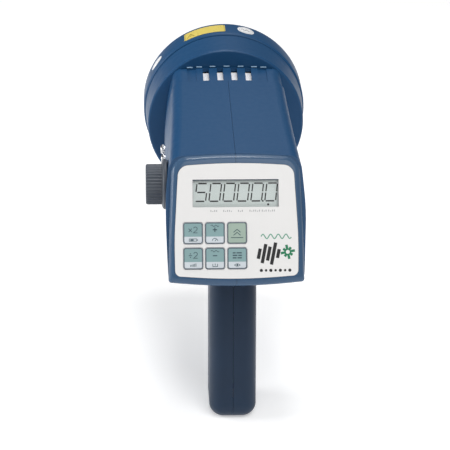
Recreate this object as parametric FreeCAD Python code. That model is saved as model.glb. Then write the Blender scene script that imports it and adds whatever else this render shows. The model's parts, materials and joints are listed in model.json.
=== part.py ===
import FreeCAD, Part
import math
import os

V = FreeCAD.Vector

# Hand-held stroboscope, in mm.
# The origin is the mouth of the tripod bush under the handle, +Y is the beam, +Z is up.

# Driving dimensions
axis_z = 164.0          # height of the lamp's axis
front_y = 190.0         # front of the drum
drum_r = 61.0           # front ring
drum_length = 52.0
neck_length = 24.0
body_top = 47.3         # body's top above the axis, at the drum
body_fall = 0.0894      # slope of the body's top towards the back
body_wall = 2.4
corner_x = 39.9         # half width at the body's top corner, at the drum
corner_flare = 5.0
bulge_x = 46.6          # half width of the side walls
bulge_flare = 1.5
low_x = 45.3            # half width at the underside
low_flare = 1.0
low_drop = 38.0         # underside below the axis, at the drum
low_fall = 7.9
panel_length = 91.6
panel_tilt = math.radians(26.06)
panel_low_y = -42.0
panel_drop = 44.9       # panel's lower edge below the axis
handle_width = 33.5
handle_depth = 42.0
handle_corner = 10.0
handle_wall = 2.0
handle_slant = math.radians(13.0)
handle_foot_r = 9.0
handle_overlap = 6.0    # how far the handle runs up into the body
knob_y = 25.0
knob_rise = 1.7
knob_r = 14.2
skirt_r = 17.6
knob_end_x = -61.2
skirt_x = -50.1
skirt_end_x = -46.5
shaft_r = 3.0
knob_screw_x = -55.5
knob_screw_r = 1.5
flute_r = 0.85
flute_count = 40
knob_seat_x = -46.1
jack_ys = (71.5, 88.5)
jack_rise = 0.5
jack_face_x = -49.6     # outer end of the jacks
jack_bush_r = 3.0
jack_bore_r = 1.8
jack_nut_r = 3.6
jack_seat_x = -47.1     # flat on the side wall under the nuts
key_width = 13.3
key_height = 14.6
key_columns = (-29.65, -14.75, 0.35)
key_rows = (36.55, 19.3)
key_travel = 0.5
window_width = 58.8
window_height = 18.8
window_x = -0.3
window_v = 63.6
trigger_travel = 5.0
lock_travel = 3.0
cell_r = 7.1
cell_length = 50.5
screw_r = 1.5
beyond = 200.0          # longer than anything here, for tools that cut right through

# Worked out from them
panel_low_z = axis_z - panel_drop
knob_z = axis_z + knob_rise
jack_z = axis_z + jack_rise
back_y = front_y - drum_length
neck_y = back_y - neck_length
flare_length = back_y - panel_low_y - panel_length * math.sin(panel_tilt)
x_axis = V(1, 0, 0)
y_axis = V(0, 1, 0)
z_axis = V(0, 0, 1)
panel_up = V(0, math.sin(panel_tilt), math.cos(panel_tilt))
panel_out = V(0, -math.cos(panel_tilt), math.sin(panel_tilt))
panel_low = V(0, panel_low_y, panel_low_z)
handle_up = V(0, math.sin(handle_slant), math.cos(handle_slant))
handle_front = V(0, math.cos(handle_slant), -math.sin(handle_slant))


# Shape helpers

def polygon(points, to_space):
    """Closed wire through (u, v, radius) points, each corner rounded by its radius."""
    flat = [V(u, v, 0) for u, v, r in points]
    starts = []
    ends = []
    arcs = []
    count = len(points)
    for i in range(count):
        corner = flat[i]
        before = (flat[i - 1] - corner).normalize()
        after = (flat[(i + 1) % count] - corner).normalize()
        radius = points[i][2]
        if radius <= 0:
            starts.append(corner)
            ends.append(corner)
            arcs.append(None)
            continue
        half = before.getAngle(after) / 2
        reach = radius / math.tan(half)
        middle = (before + after).normalize() * (radius / math.sin(half) - radius)
        starts.append(corner + before * reach)
        ends.append(corner + after * reach)
        arcs.append(corner + middle)
    edges = []
    for i in range(count):
        if arcs[i] is not None:
            bend = [to_space(p.x, p.y) for p in (starts[i], arcs[i], ends[i])]
            edges.append(Part.Arc(*bend).toShape())
        following = starts[(i + 1) % count]
        side = (to_space(ends[i].x, ends[i].y), to_space(following.x, following.y))
        if side[0].distanceToPoint(side[1]) > 1e-4:
            edges.append(Part.LineSegment(*side).toShape())
    return Part.Wire(edges)


def mirrored(half):
    """Half outline with x > 0, given from bottom to top, made whole by its mirror image."""
    other = [(-u, v, r) for u, v, r in reversed(half) if u > 1e-6]
    return half + other


def rectangle(cx, cy, width, height, radius=0.0):
    return [(cx - width / 2, cy - height / 2, radius), (cx + width / 2, cy - height / 2, radius),
            (cx + width / 2, cy + height / 2, radius), (cx - width / 2, cy + height / 2, radius)]


def prism(wire, run):
    return Part.Face(wire).extrude(run)


def box(x0, x1, y0, y1, z0, z1):
    return Part.makeBox(x1 - x0, y1 - y0, z1 - z0, V(x0, y0, z0))


def rod(start, along, radius, length):
    return Part.makeCylinder(radius, length, start, along)


def tube(start, along, outer, inner, length):
    return rod(start, along, outer, length).cut(rod(start, along, inner, length))


def hexagon(start, along, across, length):
    """Hexagonal prism across its flats."""
    side = V(0, 0, 1) if abs(along.z) < 0.9 else V(1, 0, 0)
    other = along.cross(side)
    corner_r = across / 2 / math.cos(math.pi / 6)
    turns = [math.radians(60 * i + 30) for i in range(7)]
    ring = [start + side * (corner_r * math.cos(t)) + other * (corner_r * math.sin(t)) for t in turns]
    return prism(Part.makePolygon(ring), along * length)


def round_about_axis(profile):
    """Solid of revolution about the lamp's axis from (y, radius, corner radius) points."""
    wire = polygon(profile, lambda y, r: V(0, y, axis_z + r))
    return Part.Face(wire).revolve(V(0, 0, axis_z), y_axis, 360)


def fuse(*solids):
    whole = solids[0]
    for solid in solids[1:]:
        whole = whole.fuse(solid)
    return whole.removeSplitter()


def cut(solid, *tools):
    return solid.cut(Part.makeCompound(list(tools)))


def group(solids):
    return Part.makeCompound(list(solids))


def save(name, shape):
    os.makedirs("parts", exist_ok=True)
    if not shape.isValid():
        print("not valid:", name)
    if shape.ShapeType == "Compound" and len(shape.Solids) == 1:
        shape = shape.Solids[0]
    print(name, len(shape.Solids), round(shape.Volume / 1000, 2))
    shape.exportStep("parts/" + name + ".step")


# Places on the panel and in the handle

def on_panel(x, v, depth=0.0):
    """Point x to the right, v up the panel and depth below its face."""
    return panel_low + x_axis * x + panel_up * v - panel_out * depth


def panel_wire(points, depth):
    return polygon(points, lambda u, v: on_panel(u, v, depth))


def panel_prism(points, top, bottom):
    return prism(panel_wire(points, top), panel_out * (top - bottom))


def in_handle(x, f, s):
    """Point x to the right, f forward of the handle's middle line and s up along it."""
    return x_axis * x + handle_front * f + handle_up * s


def handle_box(x0, x1, f0, f1, s0, s1, radius=0.0):
    """Block in the handle's own directions, its four long edges rounded along the handle."""
    outline = rectangle((x0 + x1) / 2, (f0 + f1) / 2, x1 - x0, f1 - f0, radius)
    return prism(polygon(outline, lambda u, w: in_handle(u, w, s0)), handle_up * (s1 - s0))


# Body

def body_section(y, inset):
    """Cross-section of the body at y, moved in by inset."""
    part = (back_y - y) / flare_length
    top = axis_z + body_top - body_fall * (back_y - y) - inset
    corner = corner_x + corner_flare * max(part, 0.0) ** 1.8 - inset
    bulge = bulge_x + bulge_flare * part - inset
    bulge_z = axis_z + 12.0 * (1 - part)
    low = low_x + low_flare * part - inset
    low_z = axis_z - low_drop - low_fall * part + inset
    half = [(0, low_z, 400.0), (low, low_z + 3.4, 6.0 - inset / 2), (bulge, bulge_z, 150.0),
            (corner, top - 2.6, 8.5 - inset / 2), (0, top, 400.0)]
    return polygon(mirrored(half), lambda u, v: V(u, y, v))


def body_block(ys, inset):
    return Part.makeLoft([body_section(y, inset) for y in ys], True, False)


def behind_panel(depth):
    """Everything outside the plane that lies depth below the panel's face."""
    return panel_prism(rectangle(0, 45, 300, 300), -80, depth)


frame_half = [(0, -1.3, 400.0), (46.6, 3.0, 2.2), (46.1, 38.0, 400.0), (43.9, 88.3, 12.0),
              (0, panel_length, 400.0)]
face_half = [(0, 4.4, 400.0), (41.9, 7.4, 4.0), (42.3, 32.0, 300.0), (39.3, 82.4, 7.5), (0, 84.9, 400.0)]


low_end_v = 10.0        # outline points below this belong to the lower edge
high_end_v = 80.0       # and those above this to the upper edge
flat_r = 100.0          # larger radii only bow an edge a little


def blend_outlines(first, second, share):
    return [tuple(a + (b - a) * share for a, b in zip(p, q)) for p, q in zip(first, second)]


def shrink(half, by):
    """Outline moved in by the given distance on every side."""
    result = []
    for u, v, r in half:
        v_in = v + by if v < low_end_v else (v - by if v > high_end_v else v)
        result.append((max(u - by, 0.0) if u > 0 else 0.0, v_in, max(r - by, 0.6) if r < flat_r else r))
    return result


rim_depth = 5.0
seat_depth = 2.7
ledge_depth = 5.2
band_length = 14.0
rim_turn_in = 0.97       # how far the rim rolls in towards the face
ledge_width = 3.4


def bezel_block():
    """Frame round the panel: a straight band and a rounded rim that turns in to the face."""
    band = prism(panel_wire(mirrored(frame_half), rim_depth), y_axis * band_length)
    wires = []
    for angle in (0, 30, 60, 90):
        turn = math.radians(angle)
        share = rim_turn_in * (1 - math.cos(turn))
        outline = mirrored(blend_outlines(frame_half, face_half, share))
        wires.append(panel_wire(outline, rim_depth * (1 - math.sin(turn))))
    return fuse(band, Part.makeLoft(wires, True, False))


def handle_block(inset):
    """Handle with a rounded foot, running up into the body."""
    width = handle_width - 2 * inset
    depth = handle_depth - 2 * inset
    outline = rectangle(0, 0, width, depth, handle_corner - inset)
    shaft = prism(polygon(outline, lambda u, w: in_handle(u, w, -depth)), handle_up * beyond)
    shaft = shaft.common(box(-beyond, beyond, -beyond, beyond, inset, axis_z - low_drop + handle_overlap))
    foot = [edge for edge in shaft.Edges if edge.BoundBox.ZMax < inset + 0.01]
    return shaft.makeFillet(handle_foot_r - inset / 2, foot)


boss_places = [(98.0, axis_z - 29.6), (98.0, axis_z + 30.4), (14.0, axis_z + 24.4), (-14.0, axis_z - 37.5),
               (66.0, axis_z - 31.0), (4.0, 17.0), (31.5, 118.0)]
boss_r = 4.2
body_ys = (65.0, 20.0, -20.0, -62.0)
knob_pad_x = -42.8      # inner face of the thick wall under the knob
foot_block_r = 9.0
foot_block_top = 11.0
stand_r = 3.4
stand_low_z = 110.0


def boss(y, z, outer):
    """Screw pillar that runs right across the body, inside its skin."""
    return rod(V(-60, y, z), x_axis, boss_r, 120).common(outer)


def shell_block():
    body = body_block((neck_y,) + body_ys, 0.0).cut(behind_panel(rim_depth + 0.3))
    outer = fuse(body, handle_block(0.0), bezel_block())
    inner_body = body_block((neck_y + 4.0,) + body_ys, body_wall)
    inner = fuse(inner_body.cut(behind_panel(ledge_depth)), handle_block(handle_wall))
    opening = panel_prism(mirrored(shrink(face_half, ledge_width)), 0.0, beyond).common(inner_body)
    shell = cut(outer, inner, opening, panel_prism(mirrored(shrink(face_half, -0.15)), -1.0, seat_depth))
    knob_pad = rod(V(-60, knob_y, knob_z), x_axis, skirt_r + 2.6, 60 + knob_pad_x).common(outer)
    foot_block = rod(V(0, 0, 1.0), z_axis, foot_block_r, foot_block_top - 1.0)
    pillars = [boss(y, z, outer) for y, z in boss_places]
    stands = [rod(V(x, y, stand_low_z), z_axis, stand_r, board_z - stand_low_z).common(outer)
              for x, y in board_screw_places]
    return fuse(shell, knob_pad, foot_block, *pillars, *stands)


def shell_cuts():
    """Everything that is bored or pocketed in the two halves together."""
    cuts = [rod(V(0, 0, -1), z_axis, bush_r + 0.02, bush_length + 1)]
    cuts.append(rod(V(-70, knob_y, knob_z), x_axis, skirt_r + 0.6, 70 + knob_seat_x))
    cuts.append(rod(V(-70, knob_y, knob_z), x_axis, bushing_r + 0.1, 40))
    for y in jack_ys:
        cuts.append(rod(V(-70, y, jack_z), x_axis, jack_nut_r + 0.8, 70 + jack_seat_x))
        cuts.append(rod(V(-70, y, jack_z), x_axis, jack_bush_r + 0.1, 40))
    slot_x = blade_x + 0.4
    slot_s = blade_s + 0.4
    cuts.append(handle_box(-slot_x, slot_x, 15, 30, trigger_s - slot_s, trigger_s + slot_s, 1.0))
    cuts.append(rod(in_handle(-30, lock_f, lock_s), x_axis, lock_r + 0.1, 20))
    cuts.append(rod(in_handle(0, 30, charge_s), handle_front * -1, charge_r + 0.1, 20))
    for y, z in boss_places:
        cuts.append(rod(V(-8, y, z), x_axis, screw_r * 0.85, 9))
        cuts.append(rod(V(0, y, z), x_axis, screw_r + 0.2, 60))
        cuts.append(rod(V(screw_seat_x(y, z), y, z), x_axis, screw_head_r + 0.2, 60))
    for x, y in board_screw_places:
        cuts.append(rod(V(x, y, board_z - 8.0), z_axis, 1.0, 9.0))
    return cuts


handle_seat_x = 8.0
body_seat_x = 30.0
screw_head_r = 2.8
screw_head_length = 2.2


def screw_seat_x(y, z):
    """Where a case screw's head sits: deep in the body, shallow in the slim handle."""
    return handle_seat_x if z < axis_z - low_drop else body_seat_x


def halves(whole):
    gap = 0.1
    left = whole.common(box(-beyond, -gap, -beyond, beyond, -5, axis_z + beyond))
    right = whole.common(box(gap, beyond, -beyond, beyond, -5, axis_z + beyond))
    return left, right


def case_screws():
    screws = []
    for y, z in boss_places:
        seat = screw_seat_x(y, z)
        shank = rod(V(-7.0, y, z), x_axis, screw_r * 0.85 - 0.02, 7.0)
        neck = rod(V(0, y, z), x_axis, screw_r, seat)
        head = rod(V(seat, y, z), x_axis, screw_head_r, screw_head_length)
        socket = hexagon(V(seat + 1.0, y, z), x_axis, 2.0, 3.0)
        screws.append(fuse(shank, neck, head).cut(socket))
    return group(screws)


# Head

ring_back_y = 166.9
spigot_r = 58.4
shell_ring_y = 165.6
head_inner_r = 56.0
spigot_end_y = 181.2
lens_r = 57.4
lens_back_y = 184.5
lens_front_y = 187.5
opening_r = 54.6
head_wall = 2.4


def front_ring():
    return round_about_axis([(ring_back_y, spigot_r + 0.15, 0), (ring_back_y, drum_r - 0.5, 0),
                             (ring_back_y + 0.6, drum_r, 0.3), (front_y - 2.2, drum_r, 1.5),
                             (front_y, drum_r - 2.4, 0.8), (front_y, opening_r, 0.4),
                             (lens_front_y + 0.1, opening_r, 0), (lens_front_y + 0.1, lens_r + 0.2, 0),
                             (spigot_end_y, lens_r + 0.2, 0), (spigot_end_y, spigot_r + 0.15, 0)])


def lens():
    return rod(V(0, lens_back_y, axis_z), y_axis, lens_r, lens_front_y - lens_back_y)


def lens_seal():
    back = spigot_end_y + 1.6
    front = lens_back_y - 0.1
    inner = lens_r - 2.2
    return round_about_axis([(back, inner, 0.3), (back, lens_r, 0.3), (front, lens_r, 0.3),
                             (front, inner, 0.3)])


def neck_section_loft(inset, ys):
    return Part.makeLoft([body_section(y, inset) for y in ys], True, True)


slot_xs = (-15.6, -5.2, 5.2, 15.6)
slot_width = 4.5
recess_x = 26.0
recess_width = 6.6
neck_inset = 1.0
neck_thickness = 2.8
spigot_length = 7.0
spigot_wall = 2.2
pocket_depth = 0.8


def head_shell():
    drum = round_about_axis([(back_y, 0, 0), (back_y, 57.6, 1.2), (back_y + 1.4, 58.3, 0.8),
                             (shell_ring_y, 59.8, 0.4), (shell_ring_y, spigot_r, 0),
                             (spigot_end_y, spigot_r, 0), (spigot_end_y, head_inner_r, 0),
                             (back_y + head_wall, head_inner_r, 2.0), (back_y + head_wall, 0, 0)])
    neck = neck_section_loft(neck_inset, (neck_y, back_y + 1.0))
    spigot = neck_section_loft(body_wall + 0.2, (neck_y - spigot_length, neck_y + 1.0))
    inside = neck_section_loft(neck_inset + neck_thickness, (neck_y + 1.0, back_y + 5.0))
    spigot_inside = neck_section_loft(body_wall + spigot_wall, (neck_y - spigot_length - 1.0, neck_y + 1.0))
    solid = fuse(drum, neck, spigot)
    top = axis_z + body_top
    cuts = [inside, spigot_inside]
    for x in slot_xs:
        cuts.append(box(x - slot_width / 2, x + slot_width / 2, neck_y + 1.2, back_y - 1.6, top - 8, top + 5))
    skin = neck.cut(neck_section_loft(neck_inset + pocket_depth, (neck_y, back_y + 1.0)))
    for x in (-recess_x, recess_x):
        pocket = box(x - recess_width / 2, x + recess_width / 2, neck_y + 1.2, back_y - 1.6, top - 8, top + 5)
        cuts.append(pocket.common(skin))
    groove = neck.cut(neck_section_loft(neck_inset + 1.0, (neck_y, back_y + 1.0)))
    cuts.append(groove.common(box(-34, 34, back_y - 1.2, back_y, top - 8, top + 5)))
    solid = cut(solid, *cuts)
    bracket_bosses = [rod(V(x, back_y + 1, axis_z), y_axis, 3.2, 3.4) for x in bracket_xs]
    holes = [rod(V(x, back_y + 0.8, axis_z), y_axis, 1.1, 6) for x in bracket_xs]
    return cut(fuse(solid, *bracket_bosses), *holes)


bracket_xs = (-51.5, 51.5)
bracket_y = back_y + 4.4


def socket_bracket():
    outline = [(-55, -8, 4), (-20, -8, 6), (-14, -17, 5), (14, -17, 5), (20, -8, 6), (55, -8, 4),
               (55, 8, 4), (20, 8, 6), (14, 17, 5), (-14, 17, 5), (-20, 8, 6), (-55, 8, 4)]
    plate = prism(polygon(outline, lambda u, v: V(u, bracket_y, axis_z + v)), y_axis * 1.5)
    holes = [rod(V(x, bracket_y - 1, axis_z), y_axis, 1.6, 4) for x in bracket_xs]
    return cut(plate, rod(V(0, bracket_y - 1, axis_z), y_axis, 12.2, 4), *holes)


def head_screws():
    screws = []
    for x in bracket_xs:
        shank = rod(V(x, bracket_y - 3.4, axis_z), y_axis, 1.08, 3.5)
        head = rod(V(x, bracket_y + 1.5, axis_z), y_axis, 2.6, 1.8)
        screws.append(fuse(shank, rod(V(x, bracket_y, axis_z), y_axis, 1.5, 1.6), head))
    return group(screws)


def vent_baffle():
    """White curved sheet just under the four slots, on two low rails."""
    y = neck_y + 1.5
    length = neck_length - 4.0
    run = V(0, length, length * body_fall)
    under_neck = axis_z + body_top - body_fall * (back_y - y) - neck_inset - neck_thickness
    top = under_neck - 0.9
    half_width = 24.0
    drop = 1.6
    thick = 1.5
    edge = top - drop
    sheet = [(-half_width, edge - thick, 0), (0, top - thick, 280.0), (half_width, edge - thick, 0),
             (half_width, edge, 0), (0, top, 280.0), (-half_width, edge, 0)]
    rails = [rectangle(x, edge, 2.4, 1.2) for x in (-22.5, 22.5)]
    solids = [prism(polygon(points, lambda u, v: V(u, y, v)), run) for points in [sheet] + rails]
    return fuse(*solids)


reflector_rim_r = 54.0
reflector_hole_r = 14.6
reflector_wall = 1.2
reflector_back_y = 149.0


def reflector():
    """Dish with a flat rim that the seal presses on the head shell."""
    rim_y = spigot_end_y + 1.4
    depth_rate = (rim_y - reflector_back_y) / (reflector_rim_r ** 2 - reflector_hole_r ** 2)
    middle_r = (reflector_rim_r + reflector_hole_r) / 2
    middle_y = reflector_back_y + depth_rate * (middle_r ** 2 - reflector_hole_r ** 2)

    def at(y, r):
        return V(0, y, axis_z + r)

    inner = [at(reflector_back_y, reflector_hole_r), at(middle_y, middle_r), at(rim_y, reflector_rim_r)]
    back_r = reflector_rim_r + reflector_wall
    outer = [at(spigot_end_y, back_r), at(middle_y - 0.9, middle_r + reflector_wall),
             at(reflector_back_y - 1.1, reflector_hole_r + 0.4)]
    corners = [inner[2], at(rim_y, 57.3), at(spigot_end_y, 57.3), outer[0]]
    edges = [Part.Arc(*inner).toShape()]
    edges += [Part.LineSegment(p, q).toShape() for p, q in zip(corners, corners[1:])]
    edges += [Part.Arc(*outer).toShape(), Part.LineSegment(outer[2], inner[0]).toShape()]
    return Part.Face(Part.Wire(edges)).revolve(V(0, 0, axis_z), y_axis, 360)


lamp_leg_x = 6.0
lamp_r = 2.6
lamp_bend_y = 166.0
lamp_base_y = 152.0


def flash_tube():
    """Glass U with its bend towards the lens."""
    legs = [rod(V(x, lamp_base_y - 2.0, axis_z), y_axis, lamp_r, lamp_bend_y - lamp_base_y + 2.0)
            for x in (-lamp_leg_x, lamp_leg_x)]
    ring = Part.makeCircle(lamp_r, V(lamp_leg_x, lamp_bend_y, axis_z), y_axis)
    bend = Part.Face(Part.Wire([ring])).revolve(V(0, lamp_bend_y, axis_z), z_axis, 180)
    return fuse(*legs, bend)


def trigger_wire():
    """Fine wire round the tube's legs, drawn as separate turns."""
    turns = []
    for x in (-lamp_leg_x, lamp_leg_x):
        for i in range(4):
            middle = V(x, lamp_base_y + 2.5 + 3.2 * i, axis_z)
            turns.append(Part.makeTorus(lamp_r + 0.2, 0.18, middle, y_axis))
    return group(turns)


pin_places = [(-5.0, -3.0), (5.0, -3.0), (0.0, 5.5)]
pin_r = 1.0
pin_length = 14.0
base_r = 11.0
lamp_low_y = 145.2
lamp_socket_y = 128.0


def lamp_base():
    base = fuse(rod(V(0, lamp_low_y, axis_z), y_axis, base_r, lamp_base_y - lamp_low_y),
                rod(V(0, lamp_low_y + 2.3, axis_z), y_axis, base_r + 1.4, 1.5))
    sockets = [rod(V(x, lamp_base_y - 2.0, axis_z), y_axis, lamp_r, 5) for x in (-lamp_leg_x, lamp_leg_x)]
    holes = [rod(V(x, lamp_low_y - 0.2, axis_z + z), y_axis, pin_r, 2.0) for x, z in pin_places]
    return cut(base, *sockets, *holes)


def lamp_pins():
    end_y = lamp_low_y + 1.8 - pin_length
    return group(rod(V(x, end_y, axis_z + z), y_axis, pin_r, pin_length) for x, z in pin_places)


def lamp_socket():
    body = fuse(rod(V(0, lamp_socket_y, axis_z), y_axis, base_r + 1.0, lamp_low_y - lamp_socket_y - 0.2),
                rod(V(0, bracket_y - 2.0, axis_z), y_axis, 13.6, 2.0))
    holes = [rod(V(x, lamp_socket_y + 3.0, axis_z + z), y_axis, pin_r + 0.05, 20) for x, z in pin_places]
    tabs = [box(x - 1.5, x + 1.5, lamp_socket_y - 6.0, lamp_socket_y + 0.2, axis_z + z - 0.4, axis_z + z + 0.4)
            for x, z in pin_places]
    return fuse(cut(body, *holes), *tabs)


def label(angle0, angle1, y0, y1, thick=0.2):
    """Sticker on the front ring between two angles from the top, positive to the right."""
    ring = tube(V(0, y0, axis_z), y_axis, drum_r + thick, drum_r, y1 - y0)
    wedge = Part.makeCylinder(drum_r + 5, y1 - y0, V(0, y0, axis_z), y_axis, angle1 - angle0)
    start = wedge.CenterOfMass - V(0, 0, axis_z)
    now = math.degrees(math.atan2(start.x, start.z))
    wedge.rotate(V(0, 0, axis_z), y_axis, (angle0 + angle1) / 2 - now)
    return ring.common(wedge)


def oval_label(angle, y_middle, along, across, thick=0.2):
    """Oval sticker on the front ring, along the beam by along and round the ring by across."""
    ring = tube(V(0, y_middle - across, axis_z), y_axis, drum_r + thick, drum_r, 2 * across)
    oval = Part.Ellipse(V(0, y_middle, axis_z), max(along, across) / 2, min(along, across) / 2)
    wire = Part.Wire([oval.toShape()])
    disc = prism(wire, z_axis * (drum_r + 5))
    if along > across:
        disc.rotate(V(0, y_middle, axis_z), z_axis, 90)
    disc.rotate(V(0, y_middle, axis_z), y_axis, angle)
    return ring.common(disc)


# Rear panel

overlay_depth = 0.55
plate_top = 0.6
plate_bottom = 2.5
key_flange_top = 2.8
key_flange_bottom = 3.7
board_top = 5.6
board_bottom = 7.2
key_gap = 0.3
key_rise = 0.35
nib_length = 0.5
dome_gap = 0.3
glass_width = 63.0
glass_height = 23.0
glass_top = 2.6
glass_bottom = 4.9
frame_edge = 1.8
panel_screw_r = 0.9


def key_places():
    return [(x, v) for v in key_rows for x in key_columns]


def panel_holes(margin, top, bottom):
    holes = [panel_prism(rectangle(x, v, key_width + 2 * margin, key_height + 2 * margin, 2.0), top, bottom)
             for x, v in key_places()]
    window = rectangle(window_x, window_v, window_width + 0.1, window_height + 0.1, 0.8)
    return holes + [panel_prism(window, top, bottom)]


def overlay():
    sheet = panel_prism(mirrored(face_half), 0.0, overlay_depth)
    return cut(sheet, *panel_holes(key_gap, -1, 2))


panel_screw_places = [(-34.0, 47.4), (34.0, 47.4), (14.0, 13.6), (32.0, 15.6)]


def panel_plate():
    plate = panel_prism(mirrored(face_half), plate_top, plate_bottom)
    plate = cut(plate, *panel_holes(key_gap, -1, 4))
    bosses = [panel_prism(rectangle(x, v, 5.0, 5.0, 2.4), plate_bottom - 0.2, board_top)
              for x, v in panel_screw_places]
    holes = [rod(on_panel(x, v, 1.2), panel_out * -1, panel_screw_r, 6) for x, v in panel_screw_places]
    return cut(fuse(plate, *bosses), *holes)


def key(x, v):
    """Key cap that stands a little above the face, with a hidden flange and a nib."""
    cap = panel_prism(rectangle(x, v, key_width, key_height, 1.8), -key_rise, key_flange_top)
    wide = rectangle(x, v, key_width + 1.1, key_height + 1.1, 1.0)
    flange = panel_prism(wide, key_flange_top, key_flange_bottom)
    nib = rod(on_panel(x, v, key_flange_bottom), panel_out * -1, 2.2, nib_length)
    return fuse(cap, flange, nib)


def dome_contacts():
    height = board_top - key_flange_bottom - nib_length - key_travel - dome_gap
    return group(rod(on_panel(x, v, board_top), panel_out, 4.2, height) for x, v in key_places())


def lcd_window():
    return panel_prism(rectangle(window_x, window_v, window_width, window_height, 0.75), 0.1, 1.2)


def lcd_glass():
    return panel_prism(rectangle(window_x, window_v, glass_width, glass_height), glass_top, glass_bottom)


def lcd_frame():
    inner_width = glass_width + 0.2
    inner_height = glass_height + 0.2
    outline = rectangle(window_x, window_v, glass_width + 2 * frame_edge, glass_height + 2 * frame_edge, 0.8)
    ring = panel_prism(outline, glass_top, board_top)
    return ring.cut(panel_prism(rectangle(window_x, window_v, inner_width, inner_height), 0, 8))


def panel_board():
    board = panel_prism(rectangle(0, 45.0, 76.0, 71.0, 6.0), board_top, board_bottom)
    return cut(board, *[rod(on_panel(x, v, 5), panel_out * -1, 1.3, 4) for x, v in panel_screw_places])


def panel_screws():
    screws = []
    for x, v in panel_screw_places:
        head = rod(on_panel(x, v, board_bottom), panel_out * -1, 2.0, 1.4)
        length = board_bottom - plate_bottom + 0.1
        shank = rod(on_panel(x, v, plate_bottom), panel_out * -1, panel_screw_r - 0.02, length)
        screws.append(fuse(shank, head))
    return group(screws)


# Electronics

board_z = axis_z - 22.6
board_thick = 1.6
board_width = 64.0
board_length = 106.0
board_y = 41.0
capacitor_r = 12.5
board_screw_places = [(-27.0, -6.0), (27.0, -6.0), (-27.0, 88.0), (27.0, 88.0)]


def main_board():
    board = prism(polygon(rectangle(0, board_y, board_width, board_length, 3.0), lambda u, v: V(u, v, board_z)),
                  z_axis * board_thick)
    return cut(board, *[rod(V(x, y, board_z - 1), z_axis, 1.4, 4) for x, y in board_screw_places])


def board_parts():
    """Chips, coils and connectors as plain separate blocks on the board."""
    top = board_z + board_thick
    blocks = [box(-6, 6, 8, 20, top, top + 2.2), box(10, 20, 12, 26, top, top + 2.0),
              box(-22, -12, 18, 34, top, top + 2.6), box(-5, 15, -10, -4, top, top + 6.0),
              box(12, 22, 32, 42, top, top + 3.2), box(-8, 0, 30, 44, top, top + 8.0)]
    cans = [rod(V(x, y, top), z_axis, 4.0, 12.0) for x, y in ((22, 52), (22, 62), (22, 72))]
    return group(blocks + cans)


def flash_capacitor():
    middle_z = board_z + board_thick + 0.1 + capacitor_r
    return fuse(rod(V(-12, 50, middle_z), y_axis, capacitor_r, 44.0),
                rod(V(-12, 48.6, middle_z), y_axis, capacitor_r - 1.3, 1.6))


def trigger_transformer():
    top = board_z + board_thick
    core = box(4, 16, 76, 92, top, top + 16.0)
    winding = rod(V(10, 74.0, top + 8.0), y_axis, 5.0, 20.0)
    return fuse(core, winding)


def board_screws():
    screws = []
    for x, y in board_screw_places:
        screws.append(fuse(rod(V(x, y, board_z - 6.0), z_axis, 0.98, 7.8),
                           rod(V(x, y, board_z + board_thick), z_axis, 2.4, 1.6)))
    return group(screws)


def wire_run(points, radius):
    """Round wire through points, straight runs joined by arcs as large as they allow."""
    edges = []
    last = points[0]
    for i in range(1, len(points) - 1):
        corner = points[i]
        before = (points[i - 1] - corner)
        after = (points[i + 1] - corner)
        reach = 0.45 * min(before.Length, after.Length)
        first = before.normalize()
        second = after.normalize()
        half = first.getAngle(second) / 2
        bend = reach * math.tan(half)
        middle = corner + (first + second).normalize() * (bend / math.sin(half) - bend)
        start = corner + first * reach
        end = corner + second * reach
        edges.append(Part.LineSegment(last, start).toShape())
        edges.append(Part.Arc(start, middle, end).toShape())
        last = end
    edges.append(Part.LineSegment(last, points[-1]).toShape())
    path = Part.Wire(edges)
    section = Part.Wire([Part.makeCircle(radius, points[0], points[1] - points[0])])
    return path.makePipeShell([section], True, True)


lead_r = 0.9


def lamp_leads():
    leads = []
    for x, z in pin_places:
        leads.append(wire_run([V(x, lamp_socket_y - 6.1, axis_z + z), V(x, 112, axis_z + z),
                               V(x * 1.6, 101, axis_z - 4 + z * 0.4), V(x * 1.8, 97, board_z + 10),
                               V(x * 1.9, 97.5, board_z + board_thick + 0.1)], lead_r))
    return group(leads)


def battery_leads():
    leads = []
    for x in (-4.0, 4.0):
        start = in_handle(1.75 * x, cell_back_f, upper_cell_s + cell_length + 0.2)
        leads.append(wire_run([start, start + handle_up * 6, V(1.5 * x, 13.0, board_z - 10),
                               V(1.2 * x, 7.5, board_z - 6.5), V(1.2 * x, 7.5, board_z - 0.05)], lead_r))
    return group(leads)


def ribbon_cable():
    """Flat cable from the panel board down to the main board."""
    start = on_panel(0, 11.0, board_bottom + 0.05)
    path = [(start.y, start.z), (start.y + 5.0, start.z + 2.0), (-18.0, board_z + 7.5), (-10.1, board_z + 5.7)]
    thick = 0.9
    lower = [(y, z - thick) for y, z in reversed(path)]
    outline = [V(-6, y, z) for y, z in path + lower]
    return prism(Part.makePolygon(outline + outline[:1]), x_axis * 17.0)


# Knob and jacks

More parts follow.
